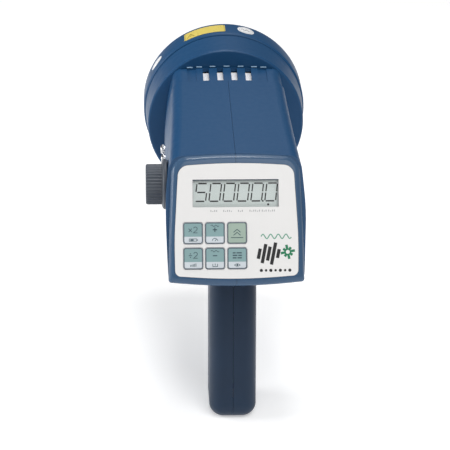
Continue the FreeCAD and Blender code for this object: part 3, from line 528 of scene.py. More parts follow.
def cutMetal(name, colour, roughness, scratchScale=(900.0, 60.0, 60.0), relief=0.08):
    # turned, drawn or plated metal with fine tool marks
    material = newMaterial(name)
    tree = material.node_tree
    output = tree.nodes.new("ShaderNodeOutputMaterial")
    surface = tree.nodes.new("ShaderNodeBsdfPrincipled")
    coords = tree.nodes.new("ShaderNodeTexCoord")
    markPlace = tree.nodes.new("ShaderNodeMapping")
    marks = tree.nodes.new("ShaderNodeTexNoise")
    gloss = tree.nodes.new("ShaderNodeMapRange")
    bump = tree.nodes.new("ShaderNodeBump")
    film = tree.nodes.new("ShaderNodeTexNoise")
    tone = tree.nodes.new("ShaderNodeMix")
    markFrame = tree.nodes.new("NodeFrame")
    filmFrame = tree.nodes.new("NodeFrame")
    for node, label, place, group in (
        (output, "metal surface", (500, 0), None),
        (surface, "metal", (200, 0), None),
        (coords, "place in the part", (-1000, 0), None),
        (markPlace, "stretched tool marks", (-750, -100), markFrame),
        (marks, "tool marks", (-550, -100), markFrame),
        (gloss, "marked gloss", (-250, -50), markFrame),
        (bump, "mark depth", (-250, -300), markFrame),
        (film, "thin oxide", (-550, 250), filmFrame),
        (tone, "oxide tone", (-250, 250), filmFrame),
        (markFrame, "tool marks", (-800, 0), None),
        (filmFrame, "oxide", (-600, 350), None),
    ):
        node.label = label
        node.parent = group
        node.location = place
    surface.inputs["Metallic"].default_value = 1.0
    markPlace.inputs["Scale"].default_value = scratchScale
    marks.inputs["Scale"].default_value = 2.0
    marks.inputs["Detail"].default_value = 4.0
    gloss.inputs["To Min"].default_value = max(roughness - 0.08, 0.03)
    gloss.inputs["To Max"].default_value = roughness + 0.12
    bump.inputs["Strength"].default_value = relief
    bump.inputs["Distance"].default_value = 0.0001
    film.inputs["Scale"].default_value = 120.0
    tone.data_type = "RGBA"
    tone.inputs["A"].default_value = (*colour, 1.0)
    tone.inputs["B"].default_value = (*[value * 0.78 for value in colour], 1.0)
    tree.links.new(coords.outputs["Object"], markPlace.inputs["Vector"])
    tree.links.new(markPlace.outputs["Vector"], marks.inputs["Vector"])
    tree.links.new(marks.outputs["Fac"], gloss.inputs["Value"])
    tree.links.new(gloss.outputs["Result"], surface.inputs["Roughness"])
    tree.links.new(marks.outputs["Fac"], bump.inputs["Height"])
    tree.links.new(bump.outputs["Normal"], surface.inputs["Normal"])
    tree.links.new(coords.outputs["Object"], film.inputs["Vector"])
    tree.links.new(film.outputs["Fac"], tone.inputs["Factor"])
    tree.links.new(tone.outputs["Result"], surface.inputs["Base Color"])
    tree.links.new(surface.outputs["BSDF"], output.inputs["Surface"])
    return material


def clearSheet(name, tint, shine, roughness):
    # glass or clear plastic that shows what lies behind it and mirrors at a low angle
    material = newMaterial(name)
    tree = material.node_tree
    output = tree.nodes.new("ShaderNodeOutputMaterial")
    blend = tree.nodes.new("ShaderNodeMixShader")
    through = tree.nodes.new("ShaderNodeBsdfTransparent")
    mirror = tree.nodes.new("ShaderNodeBsdfGlossy")
    facing = tree.nodes.new("ShaderNodeLayerWeight")
    steep = tree.nodes.new("ShaderNodeMath")
    share = tree.nodes.new("ShaderNodeMapRange")
    coords = tree.nodes.new("ShaderNodeTexCoord")
    haze = tree.nodes.new("ShaderNodeTexNoise")
    hazeRange = tree.nodes.new("ShaderNodeMapRange")
    shineFrame = tree.nodes.new("NodeFrame")
    for node, label, place, group in (
        (output, "clear surface", (500, 0), None),
        (blend, "through or mirrored", (300, 0), None),
        (through, "what lies behind", (50, 120), None),
        (mirror, "mirrored light", (50, -60), shineFrame),
        (facing, "angle of view", (-450, 300), shineFrame),
        (steep, "mostly at a low angle", (-250, 300), shineFrame),
        (share, "mirrored share", (-50, 300), shineFrame),
        (coords, "place in the part", (-700, -60), None),
        (haze, "wiping haze", (-450, -60), shineFrame),
        (hazeRange, "hazy gloss", (-200, -60), shineFrame),
        (shineFrame, "shine", (-500, 100), None),
    ):
        node.label = label
        node.parent = group
        node.location = place
    through.inputs["Color"].default_value = (*tint, 1.0)
    facing.inputs["Blend"].default_value = 0.5
    steep.operation = "POWER"
    steep.inputs[1].default_value = 4.0
    share.inputs["To Min"].default_value = shine
    share.inputs["To Max"].default_value = 0.6
    haze.inputs["Scale"].default_value = 140.0
    haze.inputs["Detail"].default_value = 5.0
    hazeRange.inputs["To Min"].default_value = roughness
    hazeRange.inputs["To Max"].default_value = roughness + 0.08
    tree.links.new(coords.outputs["Object"], haze.inputs["Vector"])
    tree.links.new(haze.outputs["Fac"], hazeRange.inputs["Value"])
    tree.links.new(hazeRange.outputs["Result"], mirror.inputs["Roughness"])
    tree.links.new(facing.outputs["Facing"], steep.inputs[0])
    tree.links.new(steep.outputs["Value"], share.inputs["Value"])
    tree.links.new(share.outputs["Result"], blend.inputs["Fac"])
    tree.links.new(through.outputs["BSDF"], blend.inputs[1])
    tree.links.new(mirror.outputs["BSDF"], blend.inputs[2])
    tree.links.new(blend.outputs["Shader"], output.inputs["Surface"])
    return material


def displayGlass(name, colour, shade):
    # reflecting foil behind the display, with a fine grain across it and a little sparkle
    material = newMaterial(name)
    tree = material.node_tree
    output = tree.nodes.new("ShaderNodeOutputMaterial")
    surface = tree.nodes.new("ShaderNodeBsdfPrincipled")
    coords = tree.nodes.new("ShaderNodeTexCoord")
    rubbing = tree.nodes.new("ShaderNodeMapping")
    lines = tree.nodes.new("ShaderNodeTexNoise")
    tone = tree.nodes.new("ShaderNodeMix")
    glitter = tree.nodes.new("ShaderNodeTexNoise")
    gloss = tree.nodes.new("ShaderNodeMapRange")
    colourFrame = tree.nodes.new("NodeFrame")
    for node, label, place, group in (
        (output, "display", (500, 0), None),
        (surface, "reflecting foil", (200, 0), None),
        (coords, "place in the display", (-900, 0), None),
        (rubbing, "foil's grain runs across", (-650, 200), colourFrame),
        (lines, "foil grain", (-450, 200), colourFrame),
        (tone, "foil tone", (-150, 200), colourFrame),
        (glitter, "foil sparkle", (-450, -120), None),
        (gloss, "sparkle gloss", (-150, -120), None),
        (colourFrame, "foil colour", (-700, 300), None),
    ):
        node.label = label
        node.parent = group
        node.location = place
    rubbing.inputs["Scale"].default_value = (60.0, 900.0, 900.0)
    lines.inputs["Scale"].default_value = 1.0
    lines.inputs["Detail"].default_value = 3.0
    tone.data_type = "RGBA"
    tone.inputs["A"].default_value = (*shade, 1.0)
    tone.inputs["B"].default_value = (*colour, 1.0)
    glitter.inputs["Scale"].default_value = 1500.0
    gloss.inputs["To Min"].default_value = 0.42
    gloss.inputs["To Max"].default_value = 0.62
    tree.links.new(coords.outputs["Object"], rubbing.inputs["Vector"])
    tree.links.new(rubbing.outputs["Vector"], lines.inputs["Vector"])
    tree.links.new(lines.outputs["Fac"], tone.inputs["Factor"])
    tree.links.new(tone.outputs["Result"], surface.inputs["Base Color"])
    tree.links.new(coords.outputs["Object"], glitter.inputs["Vector"])
    tree.links.new(glitter.outputs["Fac"], gloss.inputs["Value"])
    tree.links.new(gloss.outputs["Result"], surface.inputs["Roughness"])
    tree.links.new(surface.outputs["BSDF"], output.inputs["Surface"])
    return material


def circuitBoard(name, mask, copper):
    # solder mask over copper tracks, seen as slightly raised lighter lines
    material = newMaterial(name)
    tree = material.node_tree
    output = tree.nodes.new("ShaderNodeOutputMaterial")
    surface = tree.nodes.new("ShaderNodeBsdfPrincipled")
    coords = tree.nodes.new("ShaderNodeTexCoord")
    tracks = tree.nodes.new("ShaderNodeTexBrick")
    tone = tree.nodes.new("ShaderNodeMix")
    weave = tree.nodes.new("ShaderNodeTexNoise")
    gloss = tree.nodes.new("ShaderNodeMapRange")
    bump = tree.nodes.new("ShaderNodeBump")
    trackFrame = tree.nodes.new("NodeFrame")
    for node, label, place, group in (
        (output, "board", (500, 0), None),
        (surface, "solder mask", (200, 0), None),
        (coords, "place in the board", (-900, 0), None),
        (tracks, "copper tracks", (-600, 150), trackFrame),
        (tone, "mask over copper", (-200, 200), trackFrame),
        (bump, "track height", (-200, -150), trackFrame),
        (weave, "glass weave", (-600, -250), None),
        (gloss, "mask gloss", (-400, -350), None),
        (trackFrame, "tracks", (-700, 250), None),
    ):
        node.label = label
        node.parent = group
        node.location = place
    tracks.inputs["Scale"].default_value = 180.0
    tracks.inputs["Mortar Size"].default_value = 0.04
    tone.data_type = "RGBA"
    tone.inputs["A"].default_value = (*mask, 1.0)
    tone.inputs["B"].default_value = (*copper, 1.0)
    weave.inputs["Scale"].default_value = 1200.0
    gloss.inputs["To Min"].default_value = 0.25
    gloss.inputs["To Max"].default_value = 0.5
    bump.inputs["Strength"].default_value = 0.3
    bump.inputs["Distance"].default_value = 0.00005
    tree.links.new(coords.outputs["Object"], tracks.inputs["Vector"])
    tree.links.new(tracks.outputs["Fac"], tone.inputs["Factor"])
    tree.links.new(tracks.outputs["Fac"], bump.inputs["Height"])
    tree.links.new(tone.outputs["Result"], surface.inputs["Base Color"])
    tree.links.new(coords.outputs["Object"], weave.inputs["Vector"])
    tree.links.new(weave.outputs["Fac"], gloss.inputs["Value"])
    tree.links.new(gloss.outputs["Result"], surface.inputs["Roughness"])
    tree.links.new(bump.outputs["Normal"], surface.inputs["Normal"])
    tree.links.new(surface.outputs["BSDF"], output.inputs["Surface"])
    return material


def studioPaper(name, colour, glow):
    # pale seamless paper under the object
    material = newMaterial(name)
    tree = material.node_tree
    output = tree.nodes.new("ShaderNodeOutputMaterial")
    surface = tree.nodes.new("ShaderNodeBsdfPrincipled")
    coords = tree.nodes.new("ShaderNodeTexCoord")
    fibres = tree.nodes.new("ShaderNodeTexNoise")
    bump = tree.nodes.new("ShaderNodeBump")
    for node, label, place in (
        (output, "floor", (500, 0)),
        (surface, "paper", (200, 0)),
        (coords, "place on the floor", (-600, -100)),
        (fibres, "paper fibres", (-350, -100)),
        (bump, "fibre height", (-100, -100)),
    ):
        node.label = label
        node.location = place
    surface.inputs["Base Color"].default_value = (*colour, 1.0)
    surface.inputs["Roughness"].default_value = 0.9
    surface.inputs["Specular IOR Level"].default_value = 0.1
    surface.inputs["Emission Color"].default_value = (1.0, 1.0, 1.0, 1.0)
    surface.inputs["Emission Strength"].default_value = glow
    fibres.inputs["Scale"].default_value = 900.0
    bump.inputs["Strength"].default_value = 0.05
    bump.inputs["Distance"].default_value = 0.0001
    tree.links.new(coords.outputs["Object"], fibres.inputs["Vector"])
    tree.links.new(fibres.outputs["Fac"], bump.inputs["Height"])
    tree.links.new(bump.outputs["Normal"], surface.inputs["Normal"])
    tree.links.new(surface.outputs["BSDF"], output.inputs["Surface"])
    return material


colours = {
    "blue": (0.0105, 0.0600, 0.1520),
    "grip": (0.0150, 0.0290, 0.0560),
    # lighter, greyer rim colour: a painted sheen on the panel's rim
    "rim": (0.0500, 0.0980, 0.1760),
    "overlay": (0.775, 0.768, 0.76),
    "teal": (0.225, 0.355, 0.365),
    "keyPale": (0.60, 0.65, 0.69),
    "keyGreen": (0.335, 0.43, 0.365),
    "ink": (0.035, 0.055, 0.085),
    "keyInk": (0.045, 0.085, 0.105),
    "darkGrey": (0.028, 0.032, 0.040),
    "knobGrey": (0.064, 0.076, 0.096),
    "yellow": (0.66, 0.53, 0.12),
}
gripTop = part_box("trigger")[1].z + 0.010
panelOut = -Vector(joints["key_double_press"]["axis"])
overlayPlane = (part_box("overlay")[0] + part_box("overlay")[1]).dot(panelOut) / 2
shellBlue = shellPlastic("shellBlue", colours["blue"], colours["grip"], colours["rim"], gripTop,
                         overlayPlane - 0.0052, panelOut, 0.38)
overlayFilm = mouldedPlastic("overlayFilm", colours["overlay"], 0.5, 0.35, 0.10, 0.012)
tealPrint = mouldedPlastic("tealPrint", colours["teal"], 0.5, 0.35, 0.08, 0.04)
palePrint = mouldedPlastic("palePrint", colours["keyPale"], 0.5, 0.35, 0.08, 0.03)
greenPrint = mouldedPlastic("greenPrint", colours["keyGreen"], 0.5, 0.35, 0.08, 0.04)
outlineInk = mouldedPlastic("outlineInk", colours["ink"], 0.5, 0.3, 0.05, 0.1)
keyInk = mouldedPlastic("keyInk", colours["keyInk"], 0.5, 0.3, 0.05, 0.1)
greyInk = mouldedPlastic("greyInk", (0.42, 0.42, 0.43), 0.5, 0.3, 0.05, 0.1)
blackInk = mouldedPlastic("blackInk", (0.012, 0.012, 0.014), 0.4, 0.3, 0.05, 0.1)
greenInk = mouldedPlastic("greenInk", (0.012, 0.19, 0.085), 0.4, 0.3, 0.05, 0.1)
softGreenInk = mouldedPlastic("softGreenInk", (0.12, 0.33, 0.23), 0.4, 0.3, 0.05, 0.1)
yellowFilm = mouldedPlastic("yellowFilm", colours["yellow"], 0.38, 0.5, 0.05, 0.06)
labelInk = mouldedPlastic("labelInk", (0.30, 0.22, 0.03), 0.45, 0.5, 0.05, 0.1)
whiteFilm = mouldedPlastic("whiteFilm", (0.80, 0.81, 0.82), 0.35, 0.5, 0.05, 0.02)
# light blue for the neck beads: a painted highlight
beadPaintedHighlight = mouldedPlastic("beadPaintedHighlight", (0.20, 0.33, 0.47), 0.3, 0.5, 0.05)
darkPlastic = mouldedPlastic("darkPlastic", colours["darkGrey"], 0.45)
knobPlastic = mouldedPlastic("knobPlastic", colours["knobGrey"], 0.42, 0.45, 0.2)
whitePlastic = mouldedPlastic("whitePlastic", (0.86, 0.86, 0.88), 0.45, 0.6, 0.1, 0.02)
lampCeramic = mouldedPlastic("lampCeramic", (0.72, 0.70, 0.65), 0.6, 0.25, 0.3, 0.05)
sealRubber = mouldedPlastic("sealRubber", (0.02, 0.02, 0.022), 0.75, 0.3, 0.3)
capacitorSleeve = mouldedPlastic("capacitorSleeve", (0.018, 0.02, 0.03), 0.3, 1.5, 0.1)
cellSleeve = mouldedPlastic("cellSleeve", (0.05, 0.30, 0.12), 0.3, 1.5, 0.12)
redWire = mouldedPlastic("redWire", (0.42, 0.03, 0.02), 0.4, 0.6, 0.1)
shinyMetal = cutMetal("shinyMetal", (0.62, 0.63, 0.65), 0.22)
plainSteel = cutMetal("plainSteel", (0.55, 0.56, 0.58), 0.32)
brushedAluminium = cutMetal("brushedAluminium", (0.72, 0.73, 0.75), 0.36)
reflectorMetal = cutMetal("reflectorMetal", (0.90, 0.91, 0.92), 0.24, (40.0, 40.0, 40.0), 0.02)
threadBrass = cutMetal("threadBrass", (0.72, 0.52, 0.24), 0.30)
lensClear = clearSheet("lensClear", (0.94, 0.96, 0.97), 0.05, 0.03)
windowClear = clearSheet("windowClear", (0.99, 0.99, 0.99), 0.015, 0.10)
tubeGlass = clearSheet("tubeGlass", (0.93, 0.95, 0.98), 0.08, 0.02)
displayFoil = displayGlass("displayFoil", (0.67, 0.735, 0.72), (0.61, 0.68, 0.66))
boardGreen = circuitBoard("boardGreen", (0.02, 0.16, 0.07), (0.05, 0.28, 0.12))

cadFinish = {
    shellBlue: ("left_shell", "right_shell", "head_shell"),
    overlayFilm: ("overlay",),
    whitePlastic: ("vent_baffle",),
    darkPlastic: ("panel_plate", "lcd_frame", "lamp_socket", "encoder_body", "trigger_switch",
                  "switch_plunger", "charge_socket", "ribbon_cable"),
    shinyMetal: ("encoder_nut", "knob_screw"),
    plainSteel: ("head_screws", "lamp_pins", "panel_screws", "board_screws", "encoder_shaft",
                 "dome_contacts"),
    brushedAluminium: ("socket_bracket",),
    lampCeramic: ("lamp_base",),
    sealRubber: ("lens_seal",),
    windowClear: ("lcd_window",),
    displayFoil: ("lcd_glass",),
    boardGreen: ("panel_board", "main_board"),
    capacitorSleeve: ("flash_capacitor", "board_parts", "trigger_transformer"),
    redWire: ("lamp_leads", "battery_leads"),
    cellSleeve: ("battery_wrap",),
}
for finish, names in cadFinish.items():
    for nodeName in names:
        nodes[nodeName].material_slots[0].material = finish
nodes["battery_cells"].material_slots[0].material = plainSteel
print("materials ready")


# Lamp head

axisZ = (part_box("front_ring")[0].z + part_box("front_ring")[1].z) / 2
beam = placeAlong((0, 0, axisZ), (0, 1, 0), (1, 0, 0))
ringLow, ringHigh = spanIn(beam, "front_ring")
ringRadius = ringHigh.x
spigotEnd = spanIn(beam, "head_shell")[1].z


def makeFrontRing():
    ring = {"lip": 54.6, "seat": 57.6, "bore": 58.55, "chamfer": 2.2, "backRound": 1.1, "lipDepth": 2.4}
    back = ringLow.z
    front = ringHigh.z
    profile = [
        (ring["lip"], front), (ringRadius - ring["chamfer"], front), (ringRadius, front - ring["chamfer"]),
        (ringRadius, back + ring["backRound"]), (ringRadius - ring["backRound"], back), (ring["bore"], back),
        (ring["bore"], spigotEnd), (ring["seat"], spigotEnd), (ring["seat"], front - ring["lipDepth"]),
        (ring["lip"], front - ring["lipDepth"]),
    ]
    mesh = bake(turned(profile, 0.5, steps=160), beam)
    assemble("frontRing", [(mesh, shellBlue)], "housing", ["front_ring"])


def makeLens():
    lens = {"crown": 1.0, "ribs": 0.12, "rings": 40}
    low, high = spanIn(beam, "lens")
    profile = []
    for i in range(lens["rings"] + 1):
        share = i / lens["rings"]
        ripple = lens["ribs"] * (i % 2)
        profile.append((high.x * share, high.z + lens["crown"] * (1 - share ** 2) - ripple))
    profile += [(high.x, low.z), (0, low.z)]
    mesh = bake(turned(profile, closed=False, steps=96), beam, 60)
    assemble("frontLens", [(mesh, lensClear)], "housing", ["lens"])


def makeReflector():
    dish = {"hole": 14.6, "mouth": 54.0, "wall": 1.2, "rings": 9, "facets": 40, "flange": 1.4}
    low, high = spanIn(beam, "reflector")
    backZ = low.z + 1.1
    rate = (high.z - backZ) / (dish["mouth"] ** 2 - dish["hole"] ** 2)
    spread = dish["mouth"] - dish["hole"]
    radii = [dish["hole"] + spread * i / dish["rings"] for i in range(dish["rings"] + 1)]
    inner = [(r, backZ + rate * (r ** 2 - dish["hole"] ** 2)) for r in radii]
    outer = [(r + dish["wall"] * 0.8, z - dish["wall"]) for r, z in inner[:-1]]
    rim = [(high.x, high.z - dish["flange"]), (high.x, high.z)]
    profile = outer + rim + list(reversed(inner))
    mesh = bake(turned(profile, steps=dish["facets"]), beam, 2)
    assemble("lampReflector", [(mesh, reflectorMetal)], "housing", ["reflector"])


def makeFlashTube():
    tube = {"leg": 6.0, "bore": 2.6, "electrode": 0.7, "wire": 0.18, "turns": 4, "steps": 24,
            "wireGap": 0.2, "electrodeLength": 7.0}
    low, high = spanIn(beam, "flash_tube")
    bendZ = high.z - tube["leg"] - tube["bore"]
    bend = [(x, 0, z) for x, z in arc(0, bendZ, tube["leg"], 0, 180, 24)]
    path = [(tube["leg"], 0, low.z)] + bend + [(-tube["leg"], 0, low.z)]
    parts = [(bake(tubeAlong(path, tube["bore"]), beam), tubeGlass)]
    for side in (-1, 1):
        x = side * tube["leg"]
        rodEnd = low.z + tube["electrodeLength"]
        rod = tubeAlong([(x, 0, low.z), (x, 0, low.z + 3.0), (x, 0, rodEnd)], tube["electrode"])
        tip = turned([(0, 3.2), (1.5, 2.9), (1.6, 0.3), (0, 0)], 0.3, closed=False, steps=24)
        parts.append((bake(rod, beam), plainSteel))
        parts.append((bake(tip, beam @ Matrix.Translation(Vector((x, 0, rodEnd - 1.0)) * mm)), plainSteel))
    assemble("flashTube", parts, "housing", ["flash_tube"])

    wireLow, wireHigh = spanIn(beam, "trigger_wire")
    rise = wireHigh.z - wireLow.z - 2 * tube["wire"]
    coils = []
    for side in (-1, 1):
        helix = []
        for i in range(tube["steps"] * tube["turns"] + 1):
            turn = 2 * math.pi * i / tube["steps"]
            reach = tube["bore"] + tube["wireGap"]
            height = wireLow.z + tube["wire"] + rise * i / (tube["steps"] * tube["turns"])
            helix.append((side * tube["leg"] + reach * math.cos(turn), reach * math.sin(turn), height))
        coils.append((bake(tubeAlong(helix, tube["wire"]), beam), shinyMetal))
    assemble("triggerWire", coils, "housing", ["trigger_wire"])


def makeNeckBeads():
    # small rounded lips where the ribs between the vents meet the drum, coloured light blue as a painted
    # highlight
    bead = {"aboveAxis": 46.15, "crown": 400.0, "radius": 0.55, "behindBaffle": 1.5,
            "middles": (-27.3, -20.3, -10.4, 0.0, 10.4, 20.3, 27.3), "reach": 2.1}
    edge = spanIn(beam, "vent_baffle")[1].z + bead["behindBaffle"]
    parts = []
    for middle in bead["middles"]:
        drop = middle ** 2 / (2 * bead["crown"])
        xs = (middle - bead["reach"], middle, middle + bead["reach"])
        path = [(x, -(bead["aboveAxis"] - drop), edge) for x in xs]
        parts.append((bake(tubeAlong(path, bead["radius"]), beam), beadPaintedHighlight))
    assemble("neckBeads", parts, "housing")


makeFrontRing()
makeNeckBeads()
makeLens()
makeReflector()
makeFlashTube()
print("lamp head ready")


# Labels round the ring

def bendOnRing(mesh, angle, along):
    # wraps a mesh drawn flat in mm about the ring, its middle at an angle from the top
    for vertex in mesh.vertices:
        reach = ringRadius + vertex.co.z
        turn = math.radians(angle) + vertex.co.x / ringRadius
        vertex.co = (reach * math.sin(turn), -reach * math.cos(turn), along + vertex.co.y)


def strip(verts, columns):
    # a flat sheet of points in pairs, low and high, divided so that it can bend
    return verts, [(2 * i, 2 * i + 2, 2 * i + 3, 2 * i + 1) for i in range(columns)]


def cornerPatch(width, height, radius, columns=24):
    # a rectangle with round corners
    verts = []
    for i in range(columns + 1):
        x = -width / 2 + width * i / columns
        over = max(abs(x) - (width / 2 - radius), 0.0)
        drop = radius - math.sqrt(max(radius ** 2 - over ** 2, 0.0))
        verts.append((x, -height / 2 + drop))
        verts.append((x, height / 2 - drop))
    return strip(verts, columns)


def ovalPatch(width, height, columns=28):
    verts = []
    for i in range(columns + 1):
        x = -width / 2 * math.cos(math.pi * i / columns)
        reach = height / 2 * math.sqrt(max(1 - (2 * x / width) ** 2, 0.0)) + 0.01
        verts.append((x, -reach))
        verts.append((x, reach))
    return strip(verts, columns)


def makeRingLabel(name, node, patch, film, marks, ink):
    low, high = spanIn(beam, node)
    centre = (low + high) / 2
    angle = math.degrees(math.atan2(centre.x, -centre.y))
    parts = []
    for shapes, rise, thick, material in (([patch], 0.2, 0.18, film), (marks, 0.24, 0.05, ink)):
        mesh = finishedMesh(flatMarks(shapes, rise, thick))
        bendOnRing(mesh, angle, centre.z)
        obj = bpy.data.objects.new("label", mesh)
        scene.collection.objects.link(obj)
        parts.append((bake(obj, beam), material))
    assemble(name, parts, "housing", [node])


yellow = {"width": 32.0, "height": 13.5, "corner": 0.8}
bars = [band([(-6.0 + 0.4 * i, 3.9 - 2.6 * i), (13.0 - 1.8 * i, 3.9 - 2.6 * i)], 0.8) for i in range(4)]
sign = [band([(-13.5, -4.0), (-7.9, -4.0), (-10.7, 1.6)], 0.6, closed=True),
        filled(arc(-10.7, -2.0, 0.8, 0, 345, 12))]
edge = band([(-15.3, -6.0), (15.3, -6.0), (15.3, 6.0), (-15.3, 6.0)], 0.35, closed=True)
makeRingLabel("yellowLabel", "label_yellow", cornerPatch(yellow["width"], yellow["height"], yellow["corner"]),
              yellowFilm, bars + sign + [edge], labelInk)
sweep = [(-3.6 + 0.45 * i, 1.5 * math.sin(i * math.pi / 4)) for i in range(17)]
makeRingLabel("rightOval", "label_oval_right", ovalPatch(13.0, 12.5), whiteFilm,
              [band(sweep, 0.9), band(arc(0, 0, 5.2, 0, 345, 32), 0.35, closed=True)], greyInk)
makeRingLabel("leftOval", "label_oval_left", ovalPatch(13.0, 8.0), whiteFilm,
              [band([(-3.0, 0.0), (3.0, 0.0)], 0.5)], greyInk)
print("labels ready")


# Rear panel

overlayLow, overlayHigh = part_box("overlay")
panelTurn = placeAlong((overlayLow + overlayHigh) / 2, panelOut, (1, 0, 0))
faceRise = spanIn(panelTurn, "overlay")[1].z
panel = panelTurn @ Matrix.Translation((0, 0, faceRise * mm))
windowLow, windowHigh = spanIn(panel, "lcd_window")
glassTop = spanIn(panel, "lcd_glass")[1].z


def makeDigits():
    digits = {"height": 12.1, "width": 7.3, "pitch": 9.55, "lean": 7.2, "bar": 0.95, "post": 0.85,
              "gap": 0.45, "left": 1.6, "top": 2.6, "shown": "500000", "pointAfter": 4}
    lean = math.tan(math.radians(digits["lean"]))
    half = digits["height"] / 2
    width = digits["width"]
    segments = {
        "top": ((0.9, 2 * half), (width - 0.6, 2 * half), digits["bar"]),
        "middle": ((0.9, half), (width - 0.9, half), digits["bar"]),
        "bottom": ((0.6, 0), (width - 0.9, 0), digits["bar"]),
        "upperLeft": ((0, half + digits["gap"]), (0, 2 * half - digits["gap"]), digits["post"]),
        "lowerLeft": ((0, digits["gap"]), (0, half - digits["gap"]), digits["post"]),
        "upperRight": ((width, half + digits["gap"]), (width, 2 * half - digits["gap"]), digits["post"]),
        "lowerRight": ((width, digits["gap"]), (width, half - digits["gap"]), digits["post"]),
    }
    lit = {
        "5": ("top", "upperLeft", "middle", "lowerRight", "bottom"),
        "0": ("top", "upperLeft", "lowerLeft", "upperRight", "lowerRight", "bottom"),
    }
    baseX = windowLow.x + digits["left"]
    baseV = windowHigh.y - digits["top"] - digits["height"]
    shapes = []
    for place, figure in enumerate(digits["shown"]):
        left = baseX + digits["pitch"] * place
        for segment in lit[figure]:
            start, end, thick = segments[segment]
            line = [(left + x + lean * y, baseV + y) for x, y in (start, end)]
            shapes.append(band(line, thick))
    pointX = baseX + digits["pitch"] * (digits["pointAfter"] + 1) - 1.35
    shapes.append(filled(arc(pointX, baseV, 0.65, 0, 330, 11)))
    shapes.append(filled(arc(pointX + 3.6, baseV - 2.4, 0.75, 0, 330, 11)))
    mesh = bake(flatMarks(shapes, glassTop + 0.08, 0.05), panel)
    assemble("displayDigits", [(mesh, blackInk)], "housing")


def makePanelPrint():
    # grey dashes for the display's modes, a pulse sign with a burst in place of a name, and a painted shadow
    # round the display window: a dark line along its top and grey lines down its sides
    ticks = {"drop": 2.6, "height": 1.3, "width": 0.62, "pitch": 1.3}
    tickV = windowLow.y - ticks["drop"]
    groups = ((-17.3, 3.9), (-8.6, 5.6), (1.5, 3.6), (9.3, 6.8), (17.7, 3.8), (22.1, 4.1))
    dashes = []
    for left, length in groups:
        for i in range(int(length / ticks["pitch"]) + 1):
            x = left + ticks["pitch"] * i
            height = ticks["height"] * (0.55 if i % 3 == 1 else 1.0)
            dashes.append(band([(x, tickV - ticks["height"] / 2), (x, tickV - ticks["height"] / 2 + height)],
                               ticks["width"]))
    mark = {"x": 26.5, "v": -21.0}
    x = mark["x"]
    v = mark["v"]
    wave = [(x - 9.8 + 0.35 * i, v + 10.2 + 1.5 * math.sin(i * 0.42)) for i in range(60)]
    bars = []
    for i, height in enumerate((7.0, 13.0, 9.5, 15.0, 6.0)):
        low = v - 1.5 - height / 2
        left = x - 10.8 + 3.25 * i + 0.2 * (low - v)
        bars.append(band([(left, low), (left + 0.2 * height, low + height)], 2.3))
    burst = []
    for i in range(8):
        turn = math.pi * i / 4 + 0.2
        long = 4.9 if i % 2 == 0 else 3.8
        burst.append(band([(x + 8.4 + 1.3 * math.cos(turn), v - 0.4 + 1.3 * math.sin(turn)),
                           (x + 8.4 + long * math.cos(turn), v - 0.4 + long * math.sin(turn))], 1.7))
    dots = [filled(arc(x - 9.8 + 3.25 * i, v - 12.9, 0.85 if i % 2 else 1.1, 0, 330, 11)) for i in range(7)]
    # painted shadow of the recess round the display window: a dark line at the top, painted shade as grey
    # lines at the sides
    rim = windowHigh.x - windowLow.x
    middleX = (windowHigh.x + windowLow.x) / 2
    top = windowHigh.y - 0.25
    windowTopShadow = [band([(middleX - rim / 2, top), (middleX + rim / 2, top)], 0.6)]
    windowSideShade = [band([(windowLow.x + 0.15, top), (windowLow.x + 0.15, windowLow.y)], 0.3),
                 band([(windowHigh.x - 0.15, top), (windowHigh.x - 0.15, windowLow.y)], 0.3)]
    parts = [
        (bake(flatMarks(dashes, 0.05), panel), greyInk),
        (bake(flatMarks([band(wave, 0.7)], 0.05), panel), softGreenInk),
        (bake(flatMarks(bars, 0.05), panel), blackInk),
        (bake(flatMarks(burst, 0.05), panel), greenInk),
        (bake(flatMarks(dots, 0.05), panel), blackInk),
        (bake(flatMarks(windowTopShadow, 0.0, 0.08), panel), outlineInk),
        (bake(flatMarks(windowSideShade, 0.0, 0.08), panel), greyInk),
    ]
    assemble("panelPrint", parts, "housing")


# Signs on the keys, drawn about the middle of the printed field

def plusSign(size):
    return [band([(-size, 0), (size, 0)], 0.7), band([(0, -size), (0, size)], 0.7)]


def timesSign(x):
    return [band([(x - 1.1, -1.4), (x + 1.1, 0.9)], 0.45), band([(x - 1.1, 0.9), (x + 1.1, -1.4)], 0.45)]


def divideSign(x):
    dots = [filled(arc(x, y, 0.38, 0, 330, 11)) for y in (-1.4, 1.0)]
    return [band([(x - 1.1, -0.2), (x + 1.1, -0.2)], 0.45)] + dots


def figureTwo(x):
    hook = arc(x, 0.75, 1.25, 165, -35, 10)
    return [band(hook + [(x - 1.35, -2.0), (x + 1.4, -2.0)], 0.45)]


def smallWave(y):
    return [band([(-2.8 + 0.4 * i, y + 0.55 * math.sin(i * math.pi / 3.5)) for i in range(15)], 0.38)]


def barRow(y, lengths):
    shapes = []
    x = -sum(lengths) / 2 - 0.3 * (len(lengths) - 1)
    for length in lengths:
        shapes.append(band([(x, y), (x + length, y)], 0.85))
        x += length + 0.6
    return shapes


